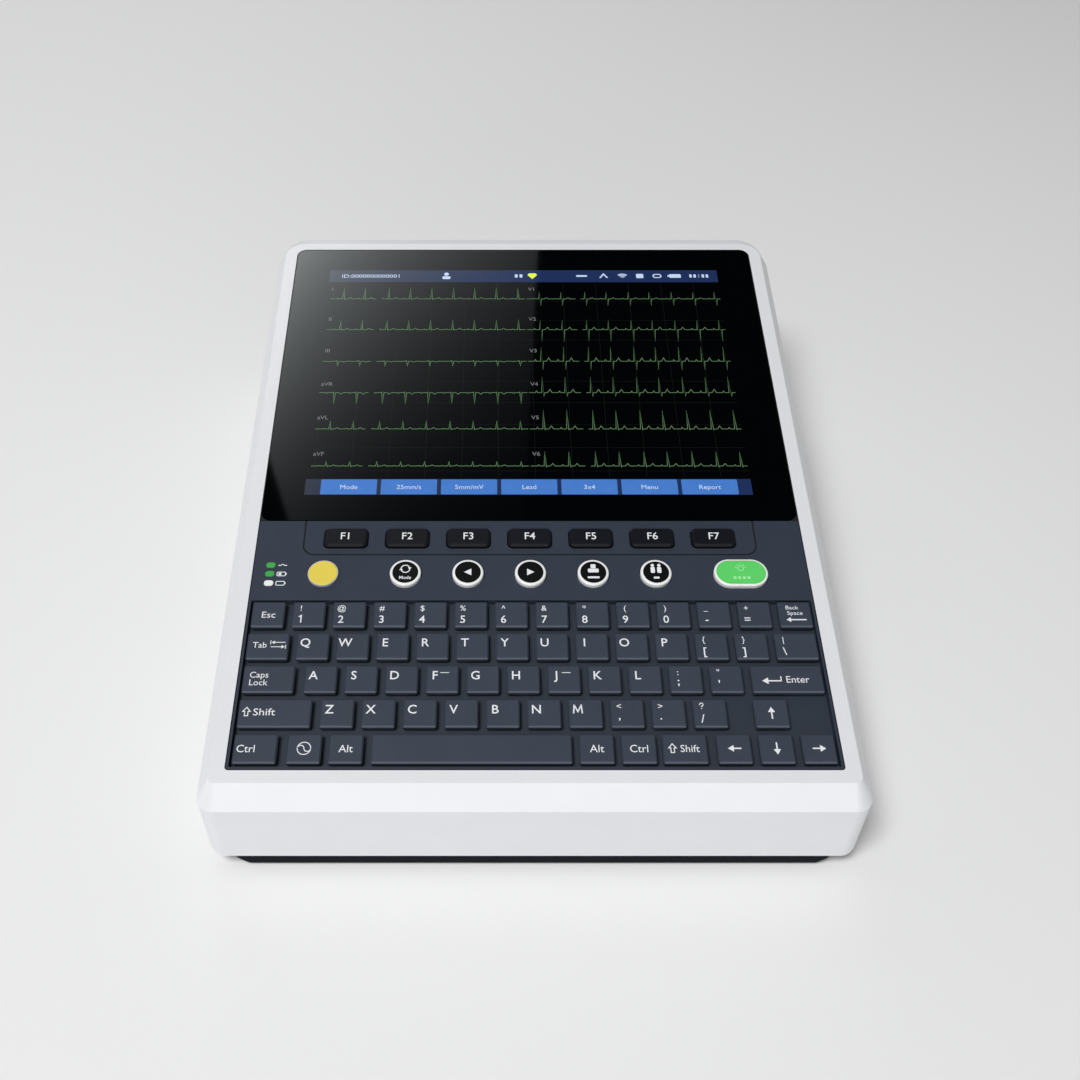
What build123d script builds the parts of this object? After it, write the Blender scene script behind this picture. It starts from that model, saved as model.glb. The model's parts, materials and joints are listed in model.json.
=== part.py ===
"""Desk-top twelve-channel ECG machine, millimetres.

+X is to the user's right, +Y to the rear and +Z up. The origin is at floor level under the
middle of the casing. Pieces on the sloping top are drawn in the panel's own coordinates:
x across, v up the slope from the front edge of the dark panel, n out of the panel.
"""

from build123d import *
from math import acos, atan2, cos, hypot, pi, radians, sin
import os

os.makedirs("parts", exist_ok=True)

# ---- Casing ----
TILT = 8.5                      # slope of the top, degrees
BODY_WIDTH = 319.0
FOOT_HEIGHT = 2.0
TRAY_HEIGHT = 7.8
SHELL_BOTTOM = FOOT_HEIGHT + TRAY_HEIGHT
FRONT_WALL_HEIGHT = 39.3        # vertical front face, below the bevel
BEVEL_DROP = 10.3
FRONT_BEVEL_RUN = 10.0
SIDE_BEVEL_RUN = 6.3
FRONT_RIM = 6.85                # white rim in front of the dark panel
TOP_REAR_V = 373.3
FACET_DROP = 1.6                # shallow facet behind the rear rim
FACET_REAR_V = 379.0
LOW_REAR_V = 381.2
TOP_CORNER = 3.5
TOP_REAR_CORNER = 12.0
FACET_CORNER = 16.5
FRONT_CORNER = 8.5
REAR_CORNER = 19.0
UNDERSIDE_ROUND = 8.0           # side walls curl under the casing
ROUND_OVERHANG = 0.15           # the curl meets the wall at a slight angle, not tangent to it
WALL = 3.0
SKIN = 3.5

# ---- Panel, glass and deck ----
PANEL_HALF = 145.5
PANEL_LENGTH = 367.0
DECK_LENGTH = 146.3
DECK_THICK = 2.0
GROOVE_DEPTH = 0.8
GLASS_THICK = 1.8
GLASS_CORNER = 5.5
LEDGE_HALF = 140.0
LEDGE_FRONT_V = 97.4
LEDGE_REAR_V = 361.0
RECESS_HALF = 144.2
RECESS_FRONT_V = 1.2
RECESS_REAR_V = 95.0
RECESS_DEPTH = 4.0
RECESS_FLOOR = 1.5

# ---- Keyboard ----
ROW_PITCH = 18.9
FIRST_ROW_V = 3.0
KEY_HEIGHT = 15.2
KEY_TOP = 0.6                   # above the deck
KEY_UNDER = -2.2
KEY_EDGE = 0.7
STEM = 6.0
STEM_GAP = 0.3
STEM_END = -6.2

# ---- Function keys and round buttons ----
FKEY_PITCH = 32.7
FKEY_WIDTH = 23.3
FKEY_HEIGHT = 12.0
FKEY_V = 134.3
FKEY_TOP = 2.4
BUTTON_V = 111.2
BUTTON_RADIUS = 8.2
BUTTON_TOP = 2.2
INLAY_RADIUS = 6.8
INLAY_DEPTH = 0.5
START_WIDTH = 28.3
START_HEIGHT = 17.0
WELL_GAP = 0.4

# ---- Printer, at the rear ----
BAY_LEFT = -130.0
BAY_RIGHT = 90.0
CHEEK = 3.0
ROLL_Y, ROLL_Z, ROLL_RADIUS = 152.0, 43.0, 23.0
PLATEN_Y, PLATEN_Z, PLATEN_RADIUS = 176.0, 78.2, 6.0
SHAFT_RADIUS = 3.0
SPINDLE_RADIUS = 4.0
SHAFT_GAP = 0.05
GEAR_MODULE = 0.8
GEAR_WIDTH = 5.0
PLATEN_TEETH, IDLER_TEETH, PINION_TEETH = 24, 30, 12
MOTOR_Y, MOTOR_Z, MOTOR_RADIUS = 144.0, 75.0, 17.5
DOOR_LEFT, DOOR_RIGHT = -134.0, 94.0
DOOR_BOTTOM, DOOR_TOP = 16.4, 82.0
SLOT_TOP = 87.2
DOOR_THICK = 3.0
HINGE_RADIUS = 1.0
LATCH_Z = 64.0
KNUCKLE_RADIUS = 1.8

# ---- Worked out from the above ----
SLOPE = radians(TILT)
LOW_FRONT_V = -FRONT_RIM - FRONT_BEVEL_RUN
PANEL_Z = (SHELL_BOTTOM + FRONT_WALL_HEIGHT
           - LOW_FRONT_V * sin(SLOPE) + BEVEL_DROP * cos(SLOPE))
BODY_DEPTH = (LOW_REAR_V - LOW_FRONT_V) * cos(SLOPE)
REAR_Y = BODY_DEPTH / 2
PANEL_Y = -REAR_Y - LOW_FRONT_V * cos(SLOPE) - BEVEL_DROP * sin(SLOPE)
HINGE_Y = REAR_Y - KNUCKLE_RADIUS
HINGE_Z = DOOR_BOTTOM + 0.8 + KNUCKLE_RADIUS
panel = Plane(origin=(0, PANEL_Y, PANEL_Z), x_dir=(1, 0, 0), z_dir=(0, -sin(SLOPE), cos(SLOPE)))
down = (0, 0, -1)


def save(name, *pieces):
    """Write one node: a single piece, or a group of separate solids."""
    solids = [solid for piece in pieces for solid in piece.solids()]
    node = solids[0] if len(solids) == 1 else Compound(children=solids)
    export_step(node, f"parts/{name}.step")


def block(x0, x1, y0, y1, z0, z1):
    """Box between two corners."""
    return Pos((x0 + x1) / 2, (y0 + y1) / 2, (z0 + z1) / 2) * Box(x1 - x0, y1 - y0, z1 - z0)


def rod_x(x0, x1, y, z, radius):
    """Cylinder along X."""
    return Pos((x0 + x1) / 2, y, z) * Rot(0, 90, 0) * Cylinder(radius, x1 - x0)


def rod_z(x, y, z0, z1, radius):
    """Upright cylinder."""
    return Pos(x, y, (z0 + z1) / 2) * Cylinder(radius, z1 - z0)


def outline(width, v0, v1, front_radius, rear_radius):
    """Rounded outline on the panel, with its own front and rear corner radii."""
    shape = Pos(0, (v0 + v1) / 2) * Rectangle(width, v1 - v0)
    shape = fillet(shape.vertices().group_by(Axis.Y)[0], front_radius)
    return fillet(shape.vertices().group_by(Axis.Y)[-1], rear_radius)


def slab(width, v0, v1, n0, n1, radius):
    """Plate on the panel with one corner radius."""
    return Pos(0, 0, n0) * extrude(outline(width, v0, v1, radius, radius), n1 - n0)


# ---- Casing ----

def wedge(inset, skin):
    """Bevelled block under the sloping top; inset and skin give the inside of the shell."""
    levels = []
    for drop, rear_v, rear_corner in ((0, TOP_REAR_V, TOP_REAR_CORNER),
                                      (FACET_DROP, FACET_REAR_V, FACET_CORNER),
                                      (BEVEL_DROP, LOW_REAR_V, REAR_CORNER)):
        share = drop / BEVEL_DROP
        front_corner = TOP_CORNER + share * (FRONT_CORNER - TOP_CORNER)
        level = outline(BODY_WIDTH - 2 * (1 - share) * SIDE_BEVEL_RUN - 2 * inset,
                        -FRONT_RIM - share * FRONT_BEVEL_RUN + inset, rear_v - inset,
                        max(front_corner - inset, 0.5), rear_corner - inset)
        levels.append(Pos(0, 0, -skin - drop) * level)
    crown = loft(levels, ruled=True)
    walls = extrude(panel * levels[-1], amount=2 * REAR_Y, dir=down)
    return panel * crown + walls


def underside(inset):
    """Front view of the casing, drawn back through it: round lower corners at the sides."""
    half = BODY_WIDTH / 2 - inset + ROUND_OVERHANG
    floor = SHELL_BOTTOM + inset
    height = 2 * half
    view = Plane.XZ * Pos(0, floor + height / 2) * Rectangle(2 * half, height)
    view = fillet(view.vertices().group_by(Axis.Z)[0], UNDERSIDE_ROUND - inset)
    return extrude(view, amount=BODY_DEPTH, both=True)


SCREWS_X = 136.0
SCREWS_Y = (-170.0, 0.0, 172.0)
screw_places = [(side * SCREWS_X, y) for side in (-1, 1) for y in SCREWS_Y]
TRAY_OPENING = 130.0
MAINS_X, MAINS_Z = 126.0, 62.0
MAINS_WIDTH, MAINS_HEIGHT = 28.0, 48.0
STUD_X, STUD_Z = 126.0, 24.0
ECG_Y, ECG_Z = 20.0, 45.0
ECG_LENGTH, ECG_HEIGHT = 40.0, 13.0
PORTS_Z = 27.6                  # on top of the main board
PORTS = (("usb_a", 66.0, 14.5, 7.2), ("usb_b", 86.0, 14.5, 7.2), ("lan", 107.0, 16.0, 13.5))


def make_top_cover():
    """White shell with its panel seat, screw posts and every opening in its walls."""
    shell = (wedge(0, 0) & underside(0)) - (wedge(WALL, SKIN) & underside(WALL))
    shell -= block(-TRAY_OPENING, TRAY_OPENING, -REAR_Y + 11, REAR_Y - 11, 0, SHELL_BOTTOM + WALL)
    shell -= panel * slab(2 * PANEL_HALF + 0.2, -0.1, PANEL_LENGTH + 0.1, -DECK_THICK, 2, GLASS_CORNER)
    shell -= panel * slab(2 * PANEL_HALF + 0.2, -0.1, LEDGE_FRONT_V, -2 * SKIN, 2, 1.0)
    shell -= panel * slab(2 * LEDGE_HALF, DECK_LENGTH - 60, LEDGE_REAR_V, -2 * SKIN, 2, 2.0)
    for x, y in screw_places:
        shell += rod_z(x, y, SHELL_BOTTOM + WALL - 1, SHELL_BOTTOM + 12, 5)
        shell -= rod_z(x, y, 0, SHELL_BOTTOM + 10, 1.5)
    shell -= block(DOOR_LEFT, DOOR_RIGHT, REAR_Y - 5, REAR_Y + 5, DOOR_BOTTOM, SLOT_TOP)
    shell -= block(DOOR_LEFT - 2.8, DOOR_RIGHT + 2.8, REAR_Y - 5, HINGE_Y + 1, HINGE_Z - 1.5, HINGE_Z + 1.5)
    shell -= block(MAINS_X - MAINS_WIDTH / 2, MAINS_X + MAINS_WIDTH / 2, REAR_Y - 5, REAR_Y + 5,
                   MAINS_Z - MAINS_HEIGHT / 2, MAINS_Z + MAINS_HEIGHT / 2)
    shell -= Pos(STUD_X, REAR_Y, STUD_Z) * Rot(90, 0, 0) * Cylinder(7.6, 12)
    shell -= block(BODY_WIDTH / 2 - 5, BODY_WIDTH, ECG_Y - ECG_LENGTH / 2, ECG_Y + ECG_LENGTH / 2,
                   ECG_Z - ECG_HEIGHT / 2, ECG_Z + ECG_HEIGHT / 2)
    for _, y, width, height in PORTS:
        shell -= block(-BODY_WIDTH, -BODY_WIDTH / 2 + 5, y - width / 2 - 0.2, y + width / 2 + 0.2,
                       PORTS_Z, PORTS_Z + height + 0.2)
    for row in range(5):
        z = 24 + 7 * row
        shell -= block(-BODY_WIDTH, -BODY_WIDTH / 2 + 5, -60, 30, z, z + 2.5)
    return shell


TRAY_TOP_HALF = 149.8
TRAY_END_SLOPE = 9.5
TRAY_RECESS = 0.8
TRAY_FLOOR = 2.5
FLOOR_TOP = FOOT_HEIGHT + TRAY_FLOOR
BATTERY = (-80.0, 80.0, -172.0, -88.0)      # x0, x1, y0, y1
BAY_MARGIN = 2.0                # battery opening beyond the battery's place
SPEAKER_X, SPEAKER_Y = -108.0, -130.0
STANDOFFS = [(x, y) for x in (-112.0, 42.0) for y in (-42.0, 72.0)]
STANDOFFS_ECG = [(x, y) for x in (66.0, 122.0) for y in (-34.0, 54.0)]
BOARD_UNDER = 26.0
THICK = 1.6                     # circuit boards
BOARD_FACE = BOARD_UNDER + THICK


def make_bottom_case():
    """Black tray with slanted ends, standoffs, battery opening and slots."""
    view = Plane.XZ * Polyline((-TRAY_TOP_HALF, SHELL_BOTTOM), (TRAY_TOP_HALF, SHELL_BOTTOM),
                               (TRAY_TOP_HALF - TRAY_END_SLOPE, FOOT_HEIGHT),
                               (TRAY_END_SLOPE - TRAY_TOP_HALF, FOOT_HEIGHT), close=True)
    tray = extrude(make_face(view), amount=REAR_Y - TRAY_RECESS, both=True)
    tray &= Pos(0, 0, FOOT_HEIGHT) * extrude(
        RectangleRounded(2 * TRAY_TOP_HALF, 2 * (REAR_Y - TRAY_RECESS), 6), TRAY_HEIGHT)
    tray -= block(-TRAY_OPENING, TRAY_OPENING, -REAR_Y + 11, REAR_Y - 11, FLOOR_TOP, SHELL_BOTTOM + 1)
    x0, x1, y0, y1 = BATTERY
    tray -= block(x0 - BAY_MARGIN, x1 + BAY_MARGIN, y0 - BAY_MARGIN, y1 + BAY_MARGIN, 0, FLOOR_TOP + 1)
    for x, y in screw_places:
        tray -= rod_z(x, y, 0, SHELL_BOTTOM + 1, 1.8)
        tray -= rod_z(x, y, 0, FLOOR_TOP, 3.3)
    for x, y in STANDOFFS + STANDOFFS_ECG:
        tray += rod_z(x, y, FLOOR_TOP, BOARD_UNDER, 3.5)
        tray -= rod_z(x, y, BOARD_UNDER - 10, BOARD_UNDER + 1, 1.25)
    for slit in range(6):
        y = SPEAKER_Y - 12.5 + 5 * slit
        tray -= block(SPEAKER_X - 14, SPEAKER_X + 14, y - 1, y + 1, 0, FLOOR_TOP + 1)
    for slit in range(12):
        x = 20 + 6 * slit
        tray -= block(x, x + 2.5, 60, 100, 0, FLOOR_TOP + 1)
    return tray


save("top_cover", make_top_cover())
save("bottom_case", make_bottom_case())

BATTERY_HEIGHT = 21.0
COVER_GAP = 0.3                 # between the battery cover and its opening


def make_battery_cover():
    """Cover in the tray floor, with a finger scoop and two grip grooves."""
    x0, x1, y0, y1 = BATTERY
    edge = BAY_MARGIN - COVER_GAP
    cover = block(x0 - edge, x1 + edge, y0 - edge, y1 + edge, FOOT_HEIGHT, FLOOR_TOP)
    cover -= block(-12, 12, y1 - 4, y1 - 0.5, 0, FOOT_HEIGHT + 1.2)
    for groove_x in (-60, 60):
        cover -= block(groove_x - 9, groove_x + 9, y0 + 20, y0 + 22, 0, FOOT_HEIGHT + 1)
    return cover


def make_battery_pack():
    x0, x1, y0, y1 = BATTERY
    cells = block(x0 + 1, x1 - 1, y0 + 1, y1 - 1, FLOOR_TOP, FLOOR_TOP + BATTERY_HEIGHT)
    return fillet(cells.edges().filter_by(Axis.X), 4)


save("battery_cover", make_battery_cover())
save("battery_pack", make_battery_pack())

FEET = [(x, y) for x in (-115.0, 115.0) for y in (-178.0, 178.0)]
save("rubber_feet", *[rod_z(x, y, 0, FOOT_HEIGHT, 9) for x, y in FEET])
case_screws = [rod_z(x, y, FOOT_HEIGHT + 0.2, FLOOR_TOP, 3) + rod_z(x, y, FLOOR_TOP, 18, 1.45)
               for x, y in screw_places]
board_screws = [rod_z(x, y, BOARD_FACE, BOARD_FACE + 2, 2.8) + rod_z(x, y, 18, BOARD_FACE, 1.2)
                for x, y in STANDOFFS + STANDOFFS_ECG]
save("fixing_screws", *case_screws, *board_screws)

# ---- Keys: left edge and width of each, row by row from the front ----


def run(start, pitch, width, count):
    """Evenly spaced keys: a list of left edge and width."""
    return [(start + pitch * place, width) for place in range(count)]


ROWS = {
    "bottom_row_keys": [(-142.9, 20.8), (-117.5, 16.4), (-97.7, 16.4), (21.3, 16.6), (41.3, 16.6),
                        (60.8, 21.3)],
    "z_row_keys": [(-142.9, 35.4)] + run(-103.3, 20.05, 16.4, 10),
    "a_row_keys": [(-142.9, 25.4)] + run(-112.7, 20.0, 16.2, 11),
    "q_row_keys": [(-143.2, 21.1)] + run(-118.3, 20.03, 16.4, 12) + [(122.1, 21.1)],
    "digit_row_keys": run(-142.9, 20.72, 16.8, 14),
}
ROW_NUMBER = {name: number for number, name in enumerate(ROWS)}
SINGLE_KEYS = {                 # left edge, width, row
    "space_key": (-77.5, 95.4, 0),
    "left_key": (86.7, 16.3, 0),
    "down_key": (106.8, 16.4, 0),
    "right_key": (127.1, 15.9, 0),
    "up_key": (106.7, 16.6, 1),
    "enter_key": (107.7, 35.3, 2),
}


def stem_places(left, width):
    """One stem under a small key, two under a long one."""
    middle = left + width / 2
    return [middle] if width < 30 else [middle - width / 3, middle + width / 3]


def row_v(row):
    """Front edge of a key row, up the slope."""
    return FIRST_ROW_V + ROW_PITCH * row


def key(left, width, row):
    """One keycap with a bevelled top edge and its stems."""
    v0 = row_v(row)
    cap = Pos(left + width / 2, v0 + KEY_HEIGHT / 2, KEY_UNDER) * extrude(
        RectangleRounded(width, KEY_HEIGHT, 0.9), KEY_TOP - KEY_UNDER)
    cap = chamfer(cap.faces().sort_by(Axis.Z)[-1].edges(), KEY_EDGE)
    for x in stem_places(left, width):
        cap += block(x - STEM / 2, x + STEM / 2, v0 + KEY_HEIGHT / 2 - STEM / 2,
                     v0 + KEY_HEIGHT / 2 + STEM / 2, STEM_END, KEY_UNDER)
    return panel * cap


for name, places in ROWS.items():
    save(name, *[key(left, width, ROW_NUMBER[name]) for left, width in places])
for name, place in SINGLE_KEYS.items():
    save(name, key(*place))


def plunger(x, v):
    """Flange that holds a button under the deck, and the stem that presses its switch."""
    flange = block(x - STEM, x + STEM, v - STEM + 0.5, v + STEM - 0.5, KEY_UNDER - 1.2, KEY_UNDER)
    return flange + block(x - STEM / 2, x + STEM / 2, v - STEM / 2, v + STEM / 2,
                          STEM_END, KEY_UNDER - 1.2)


def button(x, v, shape, top, edge, inlay=None, rounded=True):
    """Raised button: outline, height, softened top edge and an optional shallow inlay seat."""
    body = Pos(x, v, KEY_UNDER) * extrude(shape, top - KEY_UNDER)
    rim = body.faces().sort_by(Axis.Z)[-1].edges()
    body = fillet(rim, edge) if rounded else chamfer(rim, edge)
    if inlay:
        body -= Pos(x, v, top - INLAY_DEPTH) * extrude(inlay, 2)
    return panel * (body + plunger(x, v))


fkey_places = [FKEY_PITCH * (number - 3) for number in range(7)]
for number, x in enumerate(fkey_places):
    save(f"f{number + 1}_key",
         button(x, FKEY_V, RectangleRounded(FKEY_WIDTH, FKEY_HEIGHT, 2.8), FKEY_TOP, 1.1, rounded=False))

ROUND_BUTTONS = {"mode_button": -65.4, "left_button": -32.7, "right_button": 0.0,
                 "print_button": 32.8, "id_button": 65.6}
for name, x in ROUND_BUTTONS.items():
    save(name, button(x, BUTTON_V, Circle(BUTTON_RADIUS), BUTTON_TOP, 0.9, Circle(INLAY_RADIUS)))
POWER_X, POWER_RADIUS = -108.5, 7.6
save("power_button", button(POWER_X, BUTTON_V, Circle(POWER_RADIUS), 1.6, 0.4))
START_X = 110.0
start_shape = SlotOverall(START_WIDTH, START_HEIGHT)
start_inlay = SlotOverall(START_WIDTH - 2.4, START_HEIGHT - 2.2)
save("start_button", button(START_X, BUTTON_V, start_shape, BUTTON_TOP, 0.9, start_inlay))

LIGHTS_X, LIGHTS_V = -136.5, (105.6, 111.5, 117.0)
light_shape = RectangleRounded(4.8, 3.4, 1.5)
save("status_leds", *[panel * Pos(LIGHTS_X, v, -4) * extrude(light_shape, 4) for v in LIGHTS_V])

# ---- Deck, glass and display ----


def make_control_panel():
    """Dark deck with the keyboard recess, button wells, a groove and screw posts."""
    deck = slab(2 * PANEL_HALF - 0.4, 0.2, DECK_LENGTH, -DECK_THICK, 0, 0.8)
    deck += slab(2 * PANEL_HALF - 0.4, 0.2, RECESS_REAR_V + 1.5,
                 -RECESS_DEPTH - RECESS_FLOOR, -DECK_THICK, 0.8)
    deck -= slab(2 * RECESS_HALF, RECESS_FRONT_V, RECESS_REAR_V, -RECESS_DEPTH, 2, 0.8)
    holes = [(x, row_v(row) + KEY_HEIGHT / 2)
             for row, name in enumerate(ROWS) for place in ROWS[name] for x in stem_places(*place)]
    holes += [(x, row_v(row) + KEY_HEIGHT / 2)
              for left, width, row in SINGLE_KEYS.values() for x in stem_places(left, width)]
    hole = STEM / 2 + STEM_GAP
    deck -= [block(x - hole, x + hole, v - hole, v + hole, -8, -3) for x, v in holes]
    wells = [Pos(x, FKEY_V) * RectangleRounded(FKEY_WIDTH + 2 * WELL_GAP, FKEY_HEIGHT + 2 * WELL_GAP, 3.2)
             for x in fkey_places]
    wells += [Pos(x, BUTTON_V) * Circle(BUTTON_RADIUS + WELL_GAP) for x in ROUND_BUTTONS.values()]
    wells += [Pos(POWER_X, BUTTON_V) * Circle(POWER_RADIUS + WELL_GAP)]
    wells += [Pos(START_X, BUTTON_V) * SlotOverall(START_WIDTH + 2 * WELL_GAP, START_HEIGHT + 2 * WELL_GAP)]
    wells += [Pos(LIGHTS_X, v) * light_shape for v in LIGHTS_V]
    deck -= [Pos(0, 0, -5) * extrude(well, 8) for well in wells]
    groove_shape = outline(241.9, 123.5, 180, 6.5, 1) - outline(240.1, 124.4, 179, 5.6, 1)
    deck -= Pos(0, 0, -GROOVE_DEPTH) * extrude(groove_shape, 1)
    for x in (-141.8, 141.8):
        for v in (20.0, 58.0, 77.0):
            deck += Pos(x, v, -7.7) * Cylinder(2.4, 4.4)
    return panel * deck


save("control_panel", make_control_panel())
save("screen_glass", panel * slab(2 * PANEL_HALF - 0.4, 146.8, PANEL_LENGTH - 0.2,
                                  -GLASS_THICK, 0, GLASS_CORNER))
gasket = slab(2 * PANEL_HALF, 146.5, PANEL_LENGTH, -DECK_THICK, -GLASS_THICK, GLASS_CORNER)
gasket -= slab(2 * LEDGE_HALF - 6, 153, LEDGE_REAR_V - 3, -3, 0, 1)
save("glass_gasket", panel * gasket)
LCD_HALF, LCD_V0, LCD_V1, LCD_TOP, LCD_UNDER = 130.0, 158.0, 354.0, -2.3, -8.6
save("lcd_panel", panel * slab(2 * LCD_HALF, LCD_V0, LCD_V1, LCD_UNDER, LCD_TOP, 1))
SHEET = 1.2                     # sheet metal of the bracket


def make_screen_bracket():
    """Tray of sheet metal round the display, with two tabs on each side."""
    bracket = slab(2 * LCD_HALF + 8, LCD_V0 - 4, LCD_V1 + 4, LCD_UNDER - SHEET, -SKIN - 0.2, 1)
    bracket -= slab(2 * LCD_HALF + 5.6, LCD_V0 - 2.8, LCD_V1 + 2.8, LCD_UNDER, 0, 1)
    for v in (190.0, 320.0):
        tab = block(LCD_HALF + 3, 149, v - 14, v + 14, -SKIN - SHEET, -SKIN)
        bracket += [tab, mirror(tab, Plane.YZ)]
    return panel * bracket


save("screen_bracket", make_screen_bracket())

MAT_TOP, MAT_UNDER, BOARD_TOP, BOARD_LOW = -8.1, -9.2, -9.9, -11.5


def make_keypad_board():
    """Switch board under the keys and buttons, with four connectors below it."""
    board = slab(289, 3, 93, BOARD_LOW, BOARD_TOP, 1) + slab(276, 90, 143, BOARD_LOW, BOARD_TOP, 1)
    return panel * (board + [Pos(x, v, BOARD_LOW - 1.5) * Box(12, 10, 3)
                             for x in (-90, 90) for v in (26.0, 68.0)])


save("keypad_mat", panel * (slab(277, 3, 93, MAT_UNDER, MAT_TOP, 2)
                            + slab(270, 90, 142, MAT_UNDER, MAT_TOP, 2)))
save("keypad_board", make_keypad_board())

# ---- Electronics ----
MAIN = (-150.0, 50.0, -50.0, 118.0)


def circuit(x0, x1, y0, y1, z, chips):
    """Circuit board with packages on it: x, y, width, length, height."""
    plate = block(x0, x1, y0, y1, z, z + THICK)
    for x, y, width, length, height in chips:
        plate += block(x - width / 2, x + width / 2, y - length / 2, y + length / 2,
                       z + THICK, z + THICK + height)
    return plate


main = circuit(*MAIN, BOARD_UNDER, [(-40, 20, 34, 34, 8), (0, 10, 18, 22, 1.5), (-80, 0, 14, 14, 2),
                                    (20, 70, 12, 30, 9), (-20, -35, 50, 6, 5), (-95, 55, 20, 12, 3)])
save("main_board", main - [rod_z(x, y, 20, 30, 1.6) for x, y in STANDOFFS])
front_end = circuit(60, 152, -40, 60, BOARD_UNDER, [(85, 8, 40, 60, 9), (130, -22, 12, 12, 2)])
save("ecg_board", front_end - [rod_z(x, y, 20, 30, 1.6) for x, y in STANDOFFS_ECG])

SIDE = BODY_WIDTH / 2
FACE_GAP = 0.4                  # sockets end this far inside the outer face


def make_ecg_connector():
    """Two-row socket in the right wall, with a hexagonal jack nut at each end."""
    socket = block(138, SIDE - WALL, ECG_Y - 26, ECG_Y + 26, ECG_Z - 10, ECG_Z + 10)
    socket += block(SIDE - WALL, SIDE - FACE_GAP, ECG_Y - 13.5, ECG_Y + 13.5, ECG_Z - 5.6, ECG_Z + 5.6)
    socket -= block(SIDE - 9, SIDE, ECG_Y - 12.5, ECG_Y + 12.5, ECG_Z - 4.6, ECG_Z + 4.6)
    for end in (-16.6, 16.6):
        nut = Pos(SIDE - WALL, ECG_Y + end, ECG_Z) * Rot(0, 90, 0)
        socket += nut * extrude(RegularPolygon(2.7, 6), 2.6)
    return socket + block(142, 150, ECG_Y - 20, ECG_Y + 20, BOARD_FACE, ECG_Z - 10)


CAN_DEPTH = 14.0


def port_can(kind, y, width, height):
    """Open metal box of one port in the left wall."""
    outer = -SIDE + FACE_GAP
    rim = 2.0 if kind == "lan" else 1.0
    can = block(outer, outer + CAN_DEPTH, y - width / 2, y + width / 2, PORTS_Z, PORTS_Z + height)
    return can - block(-SIDE, -SIDE + CAN_DEPTH - 3, y - width / 2 + rim, y + width / 2 - rim,
                       PORTS_Z + rim, PORTS_Z + height - rim)


SUPPLY_UNDER = 22.0
SUPPLY_FACE = SUPPLY_UNDER + THICK


def make_power_supply():
    """Board on four feet with a transformer, a heat sink, a filter and a capacitor."""
    supply = block(104, 152, 66, 172, SUPPLY_UNDER, SUPPLY_FACE)
    supply += [block(108, 130, 78, 112, SUPPLY_FACE, 52), block(112, 124, 120, 160, SUPPLY_FACE, 48),
               block(136, 148, 74, 150, SUPPLY_FACE, 50), rod_z(133, 160, SUPPLY_FACE, 40, 6.5)]
    return supply + [block(x, x + 6, y - 3, y + 3, FLOOR_TOP, SUPPLY_UNDER)
                     for x in (106, 122) for y in (72.0, 166.0)]


def make_ac_inlet():
    """Mains inlet with a switch seat above it, on a flange behind the rear wall."""
    inlet = block(MAINS_X - 18, MAINS_X + 18, REAR_Y - WALL - 3, REAR_Y - WALL,
                  MAINS_Z - 28, MAINS_Z + 28)
    inlet += block(MAINS_X - 13.8, MAINS_X + 13.8, REAR_Y - WALL - 18, REAR_Y - FACE_GAP,
                   MAINS_Z - 23.8, MAINS_Z + 23.8)
    inlet -= block(MAINS_X - 8.3, MAINS_X + 8.3, REAR_Y - 17, REAR_Y, MAINS_Z - 18, MAINS_Z + 7)
    return inlet - block(MAINS_X - 9, MAINS_X + 9, REAR_Y - 5, REAR_Y, MAINS_Z + 10.5, MAINS_Z + 21)


def make_ground_terminal():
    """Stud of the potential-equalisation terminal on its flange."""
    flange = Pos(STUD_X, REAR_Y - WALL - 2, STUD_Z) * Rot(90, 0, 0) * Cylinder(10, 4)
    return flange + Pos(STUD_X, REAR_Y - 6, STUD_Z) * Rot(90, 0, 0) * Cylinder(3, 11.2)


def make_speaker():
    """Loudspeaker on the tray floor: basket and magnet."""
    basket = rod_z(SPEAKER_X, SPEAKER_Y, FLOOR_TOP, FLOOR_TOP + 4, 19.5)
    basket -= rod_z(SPEAKER_X, SPEAKER_Y, FLOOR_TOP - 1, FLOOR_TOP + 3, 16)
    return basket + rod_z(SPEAKER_X, SPEAKER_Y, FLOOR_TOP + 4, FLOOR_TOP + 14, 10)


save("ecg_connector", make_ecg_connector())
save("io_ports", *[port_can(*port) for port in PORTS])
save("power_supply", make_power_supply())
save("ac_inlet", make_ac_inlet())
save("ground_terminal", make_ground_terminal())
save("speaker", make_speaker())

# ---- Thermal printer ----


FRAME_FRONT = 126.0
FRAME_REAR = 184.5
FRAME_UNDER = 13.0
FRAME_FLOOR = 15.0              # upper face of the frame's floor plate
CHEEK_TOP = 92.0


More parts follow.
